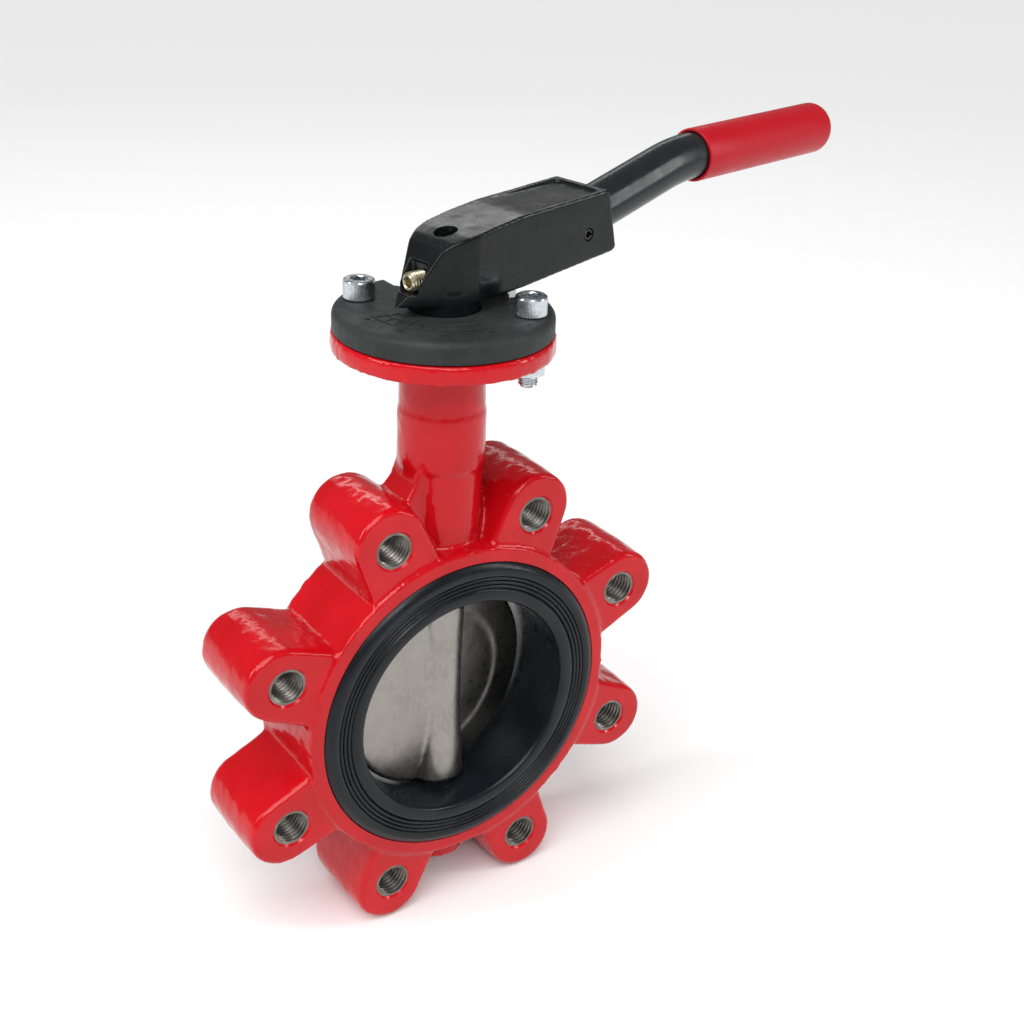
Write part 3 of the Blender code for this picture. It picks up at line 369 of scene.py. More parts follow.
def prism(name, outline, low, high, axis="Z"):
    """A flat outline made thick along an axis: (x, y) outlines along Z, (x, z) outlines along Y."""
    count = len(outline)
    points = [(x, y, low) for x, y in outline] + [(x, y, high) for x, y in outline]
    faces = [tuple(range(count))[::-1], tuple(range(count, 2 * count))]
    faces += [(i, (i + 1) % count, (i + 1) % count + count, i + count) for i in range(count)]
    obj = from_arrays(name, points, faces)
    obj.data.transform(TURN[axis])
    return obj


def box(name, low, high):
    """A block between two corners."""
    (left, front, foot), (right, back, top) = low, high
    return prism(name, [(left, front), (right, front), (right, back), (left, back)], foot, top)


def sweep(name, path, radius, inner, sides):
    """A round tube along a path that lies in the XZ plane."""
    side = Vector((0, 1, 0))
    rings = []
    for index, point in enumerate(path):
        along = path[min(index + 1, len(path) - 1)] - path[max(index - 1, 0)]
        rings.append((point, side.cross(along.normalized())))
    points = []
    rows = [(ring, radius) for ring in rings] + [(ring, inner) for ring in reversed(rings)]
    for (point, up), reach in rows:
        for column in range(sides):
            angle = tau * column / sides
            points.append(point + (side * cos(angle) + up * sin(angle)) * reach)
    return from_arrays(name, points, grid_faces(len(rows), sides, wrap_rows=True))


def settle(obj):
    """Apply an object's modifiers."""
    bpy.context.view_layer.update()
    mesh = bpy.data.meshes.new_from_object(obj.evaluated_get(bpy.context.evaluated_depsgraph_get()))
    old = obj.data
    obj.modifiers.clear()
    obj.data = mesh
    bpy.data.meshes.remove(old)
    return obj


def combine(obj, operation, *tools):
    """Join or cut an object with others, which are used up."""
    for tool in tools:
        boolean = obj.modifiers.new("combine", "BOOLEAN")
        boolean.operation = operation
        boolean.solver = "EXACT"
        boolean.object = tool
    settle(obj)
    for tool in tools:
        bpy.data.objects.remove(tool, do_unlink=True)
    return obj


def joined(name, parts):
    """One object that holds the meshes of several, which are used up."""
    bm = bmesh.new()
    for part in parts:
        part.data.transform(part.matrix_world)
        bm.from_mesh(part.data)
        bpy.data.objects.remove(part, do_unlink=True)
    mesh = bpy.data.meshes.new(name)
    bm.to_mesh(mesh)
    bm.free()
    return link(name, mesh)


def cast(name, parts, voxel, smoothing):
    """Melt overlapping solids into one casting with filleted corners and soft edges."""
    obj = joined(name, parts)
    remesh = obj.modifiers.new("melt", "REMESH")
    remesh.mode = "VOXEL"
    remesh.voxel_size = voxel
    soften = obj.modifiers.new("soften", "SMOOTH")
    soften.factor = 0.5
    soften.iterations = smoothing
    return settle(obj)


def roughen(obj, depth, size, keep=None):
    """Press shallow hollows into a surface, up to a depth, with keep(point, normal) giving a share of it."""
    mesh = obj.data
    moves = []
    for vertex in mesh.vertices:
        lump = noise.noise(vertex.co / size) + 0.5 * noise.noise(vertex.co / size * 2.3)
        share = 1.0 if keep is None else keep(vertex.co, vertex.normal)
        moves.append(vertex.co - vertex.normal * (depth * share * min(max(0.5 + 0.5 * lump, 0.0), 1.0)))
    for vertex, place in zip(mesh.vertices, moves):
        vertex.co = place
    mesh.update()
    return obj


def shade(obj, crease=35):
    """Smooth shading with crisp edges where faces meet steeply."""
    obj.data.shade_smooth()
    obj.data.set_sharp_from_angle(angle=radians(crease))
    return obj


def arc(radius, start, end, steps, centre=(0, 0)):
    """Points along an arc."""
    turns = [start + (end - start) * i / steps for i in range(steps + 1)]
    return [(centre[0] + radius * cos(t), centre[1] + radius * sin(t)) for t in turns]


def mirrored(points):
    """A line of points and then its mirror image, which leads back below the start."""
    return points + [(x, -y) for x, y in reversed(points)]


def thread(name, core, crest, pitch, low, high, segments=40, inside=False, chamfer=0.0):
    """A threaded rod along Z, or with inside set the threaded wall of a hole, as a closed sleeve."""
    points = []
    shape = ((core, 0.06), (core, 0.20), (crest, 0.56), (crest, 0.70))  # radius, and its share of the pitch
    tip = core * THREAD_TIP_SHARE
    rows = 0
    for turn in range(-1, ceil((high - low) / pitch) + 2):
        for radius, share in shape:
            for column in range(segments):
                height = low + (turn + share + column / segments) * pitch
                held = min(max(height, low), high)
                slope = 1.0 if not chamfer else min(1.0, min(held - low, high - held) / chamfer)
                reach = radius if inside else min(radius, tip + (crest - tip) * slope)
                angle = tau * column / segments
                points.append((reach * cos(angle), reach * sin(angle), held))
            rows += 1
    far = crest + SLEEVE_WALL if inside else 0.0
    for height in (high, low):
        for column in range(segments):
            angle = tau * column / segments
            points.append((far * cos(angle), far * sin(angle), height))
        rows += 1
    return from_arrays(name, points, screw_faces(rows, segments, len(shape)))


def screw_faces(rows, segments, rows_a_turn):
    """Quads of a helical grid: where the columns wrap round, they step up by the rows of one turn."""
    faces = []
    last = rows - 2
    for row in range(last - 1):
        for column in range(segments):
            lift = rows_a_turn if column == segments - 1 else 0
            if row + 1 + lift < last:
                here = row * segments + column
                beside = (row + lift) * segments + (column + 1) % segments
                faces.append((here, beside, beside + segments, here + segments))
    above, top, foot = (last - 1) * segments, last * segments, (last + 1) * segments
    for column in range(segments):
        after = (column + 1) % segments
        faces.append((top + column, top + after, foot + after, foot + column))
        faces.append((above + column, above + after, top + after, top + column))
        faces.append((foot + column, foot + after, after, column))
    return faces


def dress(obj, look, body, slot, *nodes):
    """Give a finished piece its material and its body, and hide the CAD nodes it stands for. The slot is not
    used.
    """
    obj.data.materials.clear()
    obj.data.materials.append(look)
    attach(obj, body)
    if nodes:
        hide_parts(*nodes)
    return obj


# ---------------- materials


class Surface:
    """Builds one procedural material step by step around a Principled shader."""

    def __init__(self, name, metallic=0.0, specular=0.5, coat=0.0, coat_roughness=0.05):
        self.material = bpy.data.materials.new(name)
        self.material.use_nodes = True
        self.tree = self.material.node_tree
        self.shader = self.tree.nodes["Principled BSDF"]
        self.coordinates = self.tree.nodes.new("ShaderNodeTexCoord").outputs["Object"]
        self.normal = None
        values = {"Metallic": metallic, "IOR": 1.5, "Specular IOR Level": specular}
        values.update({"Coat Weight": coat, "Coat Roughness": coat_roughness})
        for key, value in values.items():
            self.shader.inputs[key].default_value = value

    def pattern(self, scale, detail=3.0, rough=0.55, stretch=(1, 1, 1), distort=0.0):
        """A noise value from 0 to 1; scale is patches to the metre."""
        mapping = self.tree.nodes.new("ShaderNodeMapping")
        mapping.inputs["Scale"].default_value = stretch
        self.tree.links.new(self.coordinates, mapping.inputs["Vector"])
        made = self.tree.nodes.new("ShaderNodeTexNoise")
        made.inputs["Scale"].default_value = scale
        made.inputs["Detail"].default_value = detail
        made.inputs["Roughness"].default_value = rough
        made.inputs["Distortion"].default_value = distort
        self.tree.links.new(mapping.outputs["Vector"], made.inputs["Vector"])
        return made.outputs["Fac"]

    def ramp(self, value, low, high, to_low=0.0, to_high=1.0):
        """Stretch a value's range onto another."""
        made = self.tree.nodes.new("ShaderNodeMapRange")
        for key, number in (("From Min", low), ("From Max", high), ("To Min", to_low), ("To Max", to_high)):
            made.inputs[key].default_value = number
        self.tree.links.new(value, made.inputs["Value"])
        return made.outputs["Result"]

    def patches(self, scale, low, high, **shape):
        """A value that is 0 in some patches and 1 in others, with soft borders."""
        return self.ramp(self.pattern(scale, **shape), low, high)

    def edges(self, low, high):
        """A value that is 1 on worn convex edges."""
        geometry = self.tree.nodes.new("ShaderNodeNewGeometry")
        return self.ramp(geometry.outputs["Pointiness"], low, high)

    def multiply(self, a, b):
        """The product of two values."""
        made = self.tree.nodes.new("ShaderNodeMath")
        made.operation = "MULTIPLY"
        self.tree.links.new(a, made.inputs[0])
        self.tree.links.new(b, made.inputs[1])
        return made.outputs["Value"]

    def blend(self, share, first, second):
        """A colour that goes from first to second, each a colour or a socket."""
        made = self.tree.nodes.new("ShaderNodeMix")
        made.data_type = "RGBA"
        self.tree.links.new(share, made.inputs["Factor"])
        for socket, colour in ((made.inputs["A"], first), (made.inputs["B"], second)):
            self.put(colour, socket)
        return made.outputs["Result"]

    def put(self, colour, socket):
        """Set a colour socket to a colour or to another socket's value."""
        if isinstance(colour, tuple):
            socket.default_value = (*colour, 1)
        else:
            self.tree.links.new(colour, socket)

    def colour(self, value):
        """Use a colour for the surface."""
        self.put(value, self.shader.inputs["Base Color"])

    def gloss(self, scale, low, high, detail=4, rough=0.55, span=(0.3, 0.7)):
        """Let the roughness drift between two values."""
        value = self.ramp(self.pattern(scale, detail, rough), *span, low, high)
        self.tree.links.new(value, self.shader.inputs["Roughness"])

    def relief(self, scale, depth, strength, **shape):
        """Add a bumpy relief: depth is in millimetres."""
        made = self.tree.nodes.new("ShaderNodeBump")
        made.inputs["Distance"].default_value = depth * MM
        made.inputs["Strength"].default_value = strength
        self.tree.links.new(self.pattern(scale, **shape), made.inputs["Height"])
        if self.normal:
            self.tree.links.new(self.normal, made.inputs["Normal"])
        self.normal = made.outputs["Normal"]
        self.tree.links.new(self.normal, self.shader.inputs["Normal"])

    def coat_follows(self):
        """Let the clear top coat follow the same relief."""
        self.tree.links.new(self.normal, self.shader.inputs["Coat Normal"])


def red_enamel():
    """Gloss enamel, brushed thick over a sand casting."""
    look = Surface("red_enamel", specular=0.24, coat=0.15)
    pooled = look.patches(38, 0.35, 0.70, detail=2)
    look.colour(look.blend(pooled, (0.46, 0.002, 0.006), (0.55, 0.004, 0.010)))
    look.gloss(90, 0.12, 0.24)
    look.relief(230, 0.30, 0.7, rough=0.5)
    look.relief(420, 0.05, 0.5, detail=2, rough=0.5)
    look.coat_follows()
    return look.material


def thread_steel():
    """Bare cut thread, oily and dark in its roots."""
    look = Surface("thread_steel", metallic=1.0)
    film = look.patches(260, 0.35, 0.75, detail=5)
    look.colour(look.blend(film, (0.14, 0.13, 0.12), (0.27, 0.25, 0.22)))
    look.gloss(700, 0.28, 0.44, detail=3)
    look.relief(1500, 0.03, 0.5, detail=2, stretch=(1, 0.1, 1))
    return look.material


def black_rubber():
    """Moulded rubber with a faint bloom and light scuffs."""
    look = Surface("black_rubber", specular=0.24)
    bloom = look.patches(45, 0.40, 0.75, detail=4)
    base = look.blend(bloom, (0.006, 0.0075, 0.010), (0.012, 0.014, 0.018))
    scuffs = look.patches(300, 0.60, 0.78, detail=6, rough=0.7)
    worn = look.multiply(scuffs, look.edges(0.53, 0.62))
    look.colour(look.blend(worn, base, (0.09, 0.10, 0.11)))
    look.gloss(180, 0.22, 0.36, detail=5)
    look.relief(1800, 0.02, 0.4)
    return look.material


def cast_nickel():
    """Shot-blasted stainless casting, satin and faintly grainy."""
    look = Surface("cast_nickel", metallic=1.0)
    cloud = look.patches(60, 0.30, 0.72, detail=5, rough=0.6)
    grey = look.blend(cloud, (0.25, 0.24, 0.215), (0.36, 0.345, 0.315))
    grain = look.patches(900, 0.35, 0.7, detail=4, stretch=(1, 1, 0.35))
    look.colour(look.blend(grain, grey, (0.33, 0.315, 0.29)))
    look.gloss(420, 0.27, 0.42, detail=5)
    look.relief(750, 0.05, 0.45, detail=4, rough=0.6)
    return look.material


def recess_painted_shade():
    """The disc's sunk side, left as cast, in painted shade: greys darker than the cast nickel's stand for the
    dark reflection this side shows.
    """
    look = Surface("recess_painted_shade", metallic=1.0)
    cloud = look.patches(70, 0.30, 0.72, detail=5, rough=0.6)
    # painted shade: a darker colour than the cast nickel's
    look.colour(look.blend(cloud, (0.115, 0.115, 0.108), (0.175, 0.172, 0.160)))
    look.gloss(420, 0.26, 0.40, detail=5)
    look.relief(750, 0.05, 0.45, detail=4, rough=0.6)
    return look.material


def bare_metal(name, cloud, dark, light, gloss, grain, depth, strength=0.5):
    """A bare metal: cloud and grain are the scale and detail of its colour and its relief."""
    look = Surface(name, metallic=1.0)
    look.colour(look.blend(look.pattern(*cloud), dark, light))
    look.gloss(*gloss)
    look.relief(grain[0], depth, strength, detail=grain[1])
    return look.material


def dark_steel():
    """Phosphated spring steel."""
    return bare_metal("dark_steel", (300, 4), (0.06, 0.06, 0.06), (0.13, 0.13, 0.125),
                      (600, 0.36, 0.52), (2200, 2), 0.02)


def polished_rim():
    """The disc's turned sealing edge."""
    return bare_metal("polished_rim", (500, 3), (0.36, 0.35, 0.33), (0.48, 0.47, 0.44),
                      (300, 0.20, 0.30), (2500, 2), 0.01, 0.4)


def bearing_bronze():
    """Sintered bronze."""
    return bare_metal("bearing_bronze", (400, 5), (0.42, 0.26, 0.11), (0.60, 0.42, 0.20),
                      (800, 0.34, 0.50), (2500, 3), 0.03)


def turned_steel():
    """Plain turned steel, with its tool marks round the Z axis."""
    look = Surface("turned_steel", metallic=1.0)
    look.colour(look.blend(look.pattern(240, detail=4), (0.40, 0.40, 0.40), (0.55, 0.55, 0.54)))
    look.gloss(500, 0.24, 0.38)
    look.relief(2200, 0.02, 0.5, detail=2, stretch=(0.15, 0.15, 1))
    return look.material


def zinc(name, dull, bright, tint):
    """Zinc plate with cloudy passivation."""
    look = Surface(name, metallic=1.0)
    base = look.blend(look.patches(350, 0.32, 0.70, detail=4), dull, bright)
    stains = look.patches(180, 0.45, 0.80, distort=1.0)
    look.colour(look.blend(stains, base, tint))
    look.gloss(600, 0.20, 0.36)
    look.relief(1600, 0.015, 0.5)
    return look.material


def grey_plastic():
    """Glass-filled nylon, matt with pale rubbed marks."""
    look = Surface("grey_plastic", specular=0.24)
    cloud = look.patches(55, 0.35, 0.75, detail=5, rough=0.65)
    base = look.blend(cloud, (0.019, 0.021, 0.021), (0.036, 0.039, 0.038))
    rubs = look.patches(240, 0.58, 0.80, detail=6, rough=0.75, stretch=(1, 2.5, 1))
    look.colour(look.blend(rubs, base, (0.075, 0.078, 0.076)))
    look.gloss(320, 0.46, 0.64, detail=5)
    look.relief(1100, 0.05, 0.5, detail=4, rough=0.65)
    return look.material


def black_paint():
    """Semi-gloss black over cast aluminium, rubbed thin on its edges."""
    look = Surface("black_paint", specular=0.22, coat=0.08, coat_roughness=0.12)
    base = look.blend(look.patches(40, 0.35, 0.72, detail=4), (0.003, 0.0035, 0.004), (0.008, 0.0085, 0.009))
    chips = look.multiply(look.edges(0.55, 0.66), look.patches(420, 0.50, 0.66, detail=5))
    look.colour(look.blend(chips, base, (0.16, 0.16, 0.15)))
    look.gloss(140, 0.18, 0.32, detail=5, rough=0.65, span=(0.30, 0.72))
    look.relief(260, 0.10, 0.45, rough=0.5)
    look.relief(1200, 0.03, 0.5)
    return look.material


def tube_paint():
    """Smooth gloss black on drawn tube, with faint marks along it."""
    look = Surface("tube_paint", specular=0.24, coat=0.10, coat_roughness=0.10)
    base = look.blend(look.pattern(70, detail=4), (0.008, 0.009, 0.010), (0.016, 0.018, 0.019))
    marks = look.patches(500, 0.66, 0.80, detail=6, rough=0.7, stretch=(0.12, 1, 1))
    look.colour(look.blend(marks, base, (0.06, 0.062, 0.06)))
    look.gloss(160, 0.20, 0.34)
    look.relief(500, 0.03, 0.5, detail=2, stretch=(0.3, 1, 1))
    return look.material


def red_vinyl():
    """Dip-moulded vinyl, satin with fine flow marks."""
    look = Surface("red_vinyl", specular=0.22)
    look.colour(look.blend(look.pattern(50), (0.38, 0.003, 0.010), (0.48, 0.006, 0.015)))
    look.gloss(200, 0.32, 0.44)
    look.relief(700, 0.03, 0.5, stretch=(0.5, 1, 1))
    return look.material


# ---------------- stage, lights and camera


FLOOR_HALF = 40.0
FLOOR_GAP = 0.2 * MM
FLOOR_COLOUR = (0.92, 0.92, 0.92, 1)
WORLD_STRENGTH = 0.22
KEY_STRENGTH = 2.45
KEY_ANGLE = radians(50)
KEY_PLACE = (-0.9, -0.7, 2.0)
LIGHT_AIM = (0.02, 0, 0.05)
SOFT_BOXES = (  # name, place, size and watts
    ("left_box", (-1.1, 0.25, 0.75), (0.16, 0.9), 5),
    ("front_box", (-0.45, -1.15, 0.95), (0.5, 0.16), 4),
    ("right_box", (0.95, -0.7, 0.6), (0.14, 0.8), 4),
    ("back_box", (0.5, 1.2, 0.9), (1.2, 0.12), 2),
)
CAMERA_AZIMUTH = radians(-35.0)
CAMERA_ELEVATION = radians(25.69)
CAMERA_ROLL = radians(2.49)
CAMERA_DISTANCE = 0.67514
CAMERA_ASIDE = 0.03048
CAMERA_ABOVE = 0.07662
LENS = 53.09
SENSOR = 36.0


def make_stage():
    """A plain white floor just under the lowest lugs."""
    height = CAD_LOW.z - FLOOR_GAP
    corners = [(x, y, height) for x, y in mirrored([(-FLOOR_HALF, -FLOOR_HALF), (FLOOR_HALF, -FLOOR_HALF)])]
    floor = from_arrays("floor", corners, [(0, 1, 2, 3)])
    look = bpy.data.materials.new("floor_paper")
    look.use_nodes = True
    shader = look.node_tree.nodes["Principled BSDF"]
    shader.inputs["Base Color"].default_value = FLOOR_COLOUR
    shader.inputs["Roughness"].default_value = 0.9
    shader.inputs["Specular IOR Level"].default_value = 0.1
    floor.data.materials.append(look)
    world = bpy.data.worlds.new("studio")
    world.use_nodes = True
    world.node_tree.nodes["Background"].inputs["Color"].default_value = (1, 1, 1, 1)
    world.node_tree.nodes["Background"].inputs["Strength"].default_value = WORLD_STRENGTH
    bpy.context.scene.world = world
    bpy.context.scene.view_settings.view_transform = "Standard"


def aimed(name, data, place):
    """Put a light in the scene, looking at the valve."""
    lamp = bpy.data.objects.new(name, data)
    bpy.context.scene.collection.objects.link(lamp)
    lamp.location = place
    lamp.rotation_euler = (Vector(LIGHT_AIM) - Vector(place)).to_track_quat("-Z", "Y").to_euler()


def make_lights():
    """An even key that whitens the whole floor, and soft boxes that draw the highlights."""
    key = bpy.data.lights.new("key", "SUN")
    key.energy = KEY_STRENGTH
    key.angle = KEY_ANGLE
    aimed("key", key, KEY_PLACE)
    for name, place, size, power in SOFT_BOXES:
        data = bpy.data.lights.new(name, "AREA")
        data.shape = "RECTANGLE"
        data.size, data.size_y = size
        data.energy = power
        aimed(name, data, place)


def make_camera():
    """A camera above and to the left of the front face, rolled slightly."""
    level = cos(CAMERA_ELEVATION)
    right = Vector((cos(CAMERA_AZIMUTH), sin(CAMERA_AZIMUTH), 0))
    back = Vector((right.y * level, -right.x * level, sin(CAMERA_ELEVATION)))
    up = back.cross(right)
    data = bpy.data.cameras.new("camera")
    data.sensor_width = SENSOR
    data.lens = LENS
    camera = bpy.data.objects.new("camera", data)
    bpy.context.scene.collection.objects.link(camera)
    rolled_right = right * cos(CAMERA_ROLL) + up * sin(CAMERA_ROLL)
    rolled_up = up * cos(CAMERA_ROLL) - right * sin(CAMERA_ROLL)
    turn = Matrix((rolled_right, rolled_up, back)).transposed().to_quaternion()
    place = back * CAMERA_DISTANCE + right * CAMERA_ASIDE + up * CAMERA_ABOVE
    camera.matrix_world = Matrix.LocRotScale(place, turn, None)
    bpy.context.scene.camera = camera


# ---------------- body


def lug_angle(index):
    """Angle of a lug about the bore, from +X towards +Z."""
    return tau * (index + 0.5) / LUG_COUNT


def lug_place(index):
    """The move from the bore's axis to the axis of a lug's hole."""
    angle = lug_angle(index)
    return Matrix.Translation((LUG_PITCH_RADIUS * cos(angle), 0, LUG_PITCH_RADIUS * sin(angle)))


def lug_outline(grow):
    """Outline of a lug that points along +X."""
    end = LUG_PITCH_RADIUS + LUG_END_REACH - LUG_HALF_WIDTH
    half = LUG_HALF_WIDTH + grow
    upper = [(LINER_RADIUS, half + LUG_FLARE), (RING_RADIUS, half + LUG_FLARE / 4)]
    tip = arc(half, pi / 2, -pi / 2, 32, (end, 0))
    return upper + tip + [(x, -y) for x, y in reversed(upper)]


def make_lug(index):
    """One drafted lug, widest at its middle and rounder behind."""
    points = []
    for depth, grow in LUG_SECTIONS:
        outline = lug_outline(grow * MM)
        points += [(x, depth * MM, z) for x, z in outline]
    count = len(outline)
    faces = grid_faces(len(LUG_SECTIONS), count)
    faces += [tuple(range(count)), tuple(range(len(points) - count, len(points)))]
    lug = from_arrays(f"lug_{index}", points, faces)
    lug.data.transform(Matrix.Rotation(-lug_angle(index), 4, "Y"))
    return lug


def neck_profile():
    """Half section of the neck, its collar and the top flange."""
    centre = (NECK_RADIUS + FLANGE_FILLET, FLANGE_BOTTOM - FLANGE_FILLET)
    collar = NECK_RADIUS + COLLAR_STEP
    foot = NECK_RADIUS - NECK_TAPER
    profile = [(0, FLANGE_TOP), (FLANGE_RADIUS, FLANGE_TOP), (FLANGE_RADIUS, FLANGE_BOTTOM)]
    profile += arc(FLANGE_FILLET, pi / 2, pi, 8, centre)
    profile += [(NECK_RADIUS, COLLAR_TOP + COLLAR_CHAMFER), (collar, COLLAR_TOP), (collar, COLLAR_FOOT)]
    return profile + [(foot, COLLAR_FOOT - 2 * COLLAR_CHAMFER), (foot, LINER_RADIUS), (0, LINER_RADIUS)]


def make_web():
    """The flat-fronted web that widens the neck's foot between the two upper lugs."""
    outline = [(x * MM, COLLAR_FOOT + z * MM) for x, z in WEB_OUTLINE]
    return prism("web", outline, -WEB_HALF_DEPTH, WEB_HALF_DEPTH, axis="Y")


def hole_cutter(index):
    """The cutter of one tapped hole with its dished mouths."""
    bore = LUG_THREAD_ROOT + SLIP
    mouth = bore + LUG_MOUTH
    past = 3 * CLEAR
    half = [(0, LUG_HALF_DEPTH + past), (mouth + past, LUG_HALF_DEPTH + past)]
    half += [(mouth, LUG_HALF_DEPTH), (bore, LUG_HALF_DEPTH - LUG_MOUTH)]
    cutter = lathe(f"hole_cutter_{index}", mirrored(half), axis="Y", segments=64)
    cutter.data.transform(lug_place(index))
    return cutter


def bolt_places():
    """Places of the four holes in the top flange: the first and third carry screws."""
    angles = [radians(135 + 90 * i) for i in range(4)]
    return [(BOLT_CIRCLE_RADIUS * cos(a), BOLT_CIRCLE_RADIUS * sin(a)) for a in angles]


def cast_share(point, normal):
    """How rough the casting is at a point: the faced ends and the flange's top are nearly flat."""
    flat = max(abs(normal.y), normal.z if point.z > FLANGE_BOTTOM else 0.0)
    rough = FLANGE_GRAIN_SHARE if point.z > FLANGE_BOTTOM - FLANGE_FILLET else 1.0
    return rough * (1.0 - 0.75 * min(max((flat - 0.75) / 0.2, 0.0), 1.0))


def make_body(look):
    """The cast body with its lugs, neck, top flange and boss."""
    parts = [cylinder("ring", RING_RADIUS, -RING_HALF, RING_HALF, axis="Y", segments=192)]
    parts += [make_lug(index) for index in range(LUG_COUNT)]
    parts.append(lathe("neck", neck_profile(), segments=128))
    parts.append(cylinder("boss", BOSS_RADIUS, BOSS_FOOT, -LINER_RADIUS, segments=96))
    parts.append(make_web())
    body = cast("valve_body", parts, 1.0 * MM, 8)
    roughen(body, CAST_GRAIN, 6 * MM, cast_share)
    inner, lip, floor = LINER_RADIUS + TOUCH_GAP, LINER_FACE_RADIUS + TOUCH_GAP, LIP_FLOOR - TOUCH_GAP
    cavity = mirrored([(0, 2 * HALF_FACE), (lip, 2 * HALF_FACE), (lip, floor), (inner, floor)])
    cutters = [
        lathe("cavity", cavity, axis="Y", segments=192),
        cylinder("stem_bore", STEM_BORE_RADIUS, BOSS_FOOT - PAST, FLANGE_TOP + PAST),
        cylinder("recess", RECESS_RADIUS, RECESS_FLOOR, FLANGE_TOP + PAST),
    ]
    cutters += [hole_cutter(index) for index in range(LUG_COUNT)]
    for number, (x, y) in enumerate(bolt_places()):
        cutters.append(cylinder(f"bolt_cutter_{number}", SCREW_RADIUS + BOLT_PLAY, FLANGE_BOTTOM - PAST,
                                FLANGE_TOP + PAST, centre=(x, y, 0)))
    combine(body, "DIFFERENCE", *cutters)
    shade(body, 42)
    return dress(body, look, "housing", "red_enamel", "body")


def make_lug_threads(look):
    """The cut threads of the eight lug holes."""
    reach = LUG_HALF_DEPTH - LUG_MOUTH
    sleeves = []
    for index in range(LUG_COUNT):
        sleeve = thread(f"sleeve_{index}", LUG_THREAD_CORE, LUG_THREAD_ROOT, LUG_THREAD_PITCH,
                        -reach, reach, inside=True)
        sleeve.data.transform(lug_place(index) @ TURN["Y"])
        sleeves.append(sleeve)
    threads = shade(joined("lug_threads", sleeves), 25)
    return dress(threads, look, "housing", "turned_steel")


# ---------------- liner and disc


def liner_profile():
    """Half section of one end of the liner, from its outer edge in to the bore: (radius, height)."""
    profile = [(LINER_RADIUS, LIP_FLOOR), (LINER_FACE_RADIUS, LIP_FLOOR)]
    profile.append((LINER_FACE_RADIUS, HALF_FACE - LINER_EDGE_DROP))
    profile += [(radius * MM, HALF_FACE - depth * MM) for radius, depth in LINER_OUTER]
    for middle in RIDGE_RADII:
        for across, up in arc(1.0, 0, pi, 8):
            height = HALF_FACE - RIDGE_FOOT + RIDGE_HEIGHT * up
            profile.append((middle + RIDGE_HALF_WIDTH * across, height))
    profile += [(radius * MM, HALF_FACE - depth * MM) for radius, depth in LINER_INNER]
    centre = (BORE_RADIUS + MOUTH_STEP + MOUTH_ROUND, HALF_FACE - MOUTH_DROP - MOUTH_ROUND)
    profile += arc(MOUTH_ROUND, pi / 2, pi, 8, centre)
    return profile + [(BORE_RADIUS, HALF_FACE - MOUTH_DEPTH)]


def make_liner(look):
    """The rubber liner with fine sealing ridges on both faces."""
    liner = lathe("seat_liner", mirrored(liner_profile()), axis="Y", segments=256, closed=True)
    hole = cylinder("liner_hole", STEM_RADIUS + TOUCH_GAP, -LINER_RADIUS - PAST, LINER_RADIUS + PAST)
    combine(liner, "DIFFERENCE", hole)
    shade(liner, 50)
    return dress(liner, look, "housing", "black_rubber", "liner")


def smooth_step(value, low, high):
    """0 below low, 1 above high, and a soft rise between."""
    t = np.clip((value - low) / (high - low), 0, 1)
    return t * t * (3 - 2 * t)


def disc_height(x, z):
    """Height of the disc's front at a point: full and smooth on the left, stepped down on the right."""
    radius = np.hypot(x, z)
    rim = DISC_RADIUS - DISC_EDGE
    edge = np.sqrt(np.clip(1 - np.clip((radius - rim) / DISC_EDGE_SPAN, 0, 1) ** 2, 0, 1))
    full = DISC_EDGE_HALF + DISC_CROWN * (1 - np.clip(radius / rim, 0, 1) ** 2)
    sunk = DISC_SUNK_HALF + DISC_STEP * smooth_step(radius, DISC_STEP_START, DISC_STEP_END)
    side = smooth_step(x, -DISC_FADE, DISC_FADE)
    return (full * (1 - side) + sunk * side) * edge


def make_disc_plate():
    """The disc without its hub, as two height fields back to back."""
    rows, columns = 64, 192
    angles = np.arange(columns) * tau / columns
    points = []
    for side in (1, -1):
        for row in range(rows)[::side]:
            reach = DISC_RADIUS * sin(pi / 2 * row / (rows - 1))
            x, z = reach * np.cos(angles), reach * np.sin(angles)
            points += list(zip(x, -side * disc_height(side * x, z), z))
    return from_arrays("disc_plate", points, grid_faces(2 * rows, columns))


def make_disc_hub():
    """The hub that takes the stems: slim at mid height and flared at its foot, with round ends."""
    dome = DISC_RADIUS - DISC_HUB_SUNK
    rows = 40
    waist_top, waist_foot = DISC_HUB_WAIST
    cap = [(dome * sin(0.05 * step), dome * cos(0.05 * step)) for step in range(5)]
    profile = list(cap)
    for row in range(rows + 1):
        height = dome - 2 * dome * row / rows
        top = float(smooth_step(height, waist_top, DISC_HUB_REACH))
        foot = float(smooth_step(-height, -waist_foot, DISC_HUB_REACH))
        reach = DISC_HUB_RADIUS + DISC_HUB_TOP_FLARE * top + DISC_HUB_FOOT_FLARE * foot
        if abs(height) < cap[-1][1]:
            profile.append((min(reach, sqrt(dome**2 - height**2)), height))
    profile += [(radius, -height) for radius, height in reversed(cap)]
    return lathe("disc_hub", profile, segments=96)


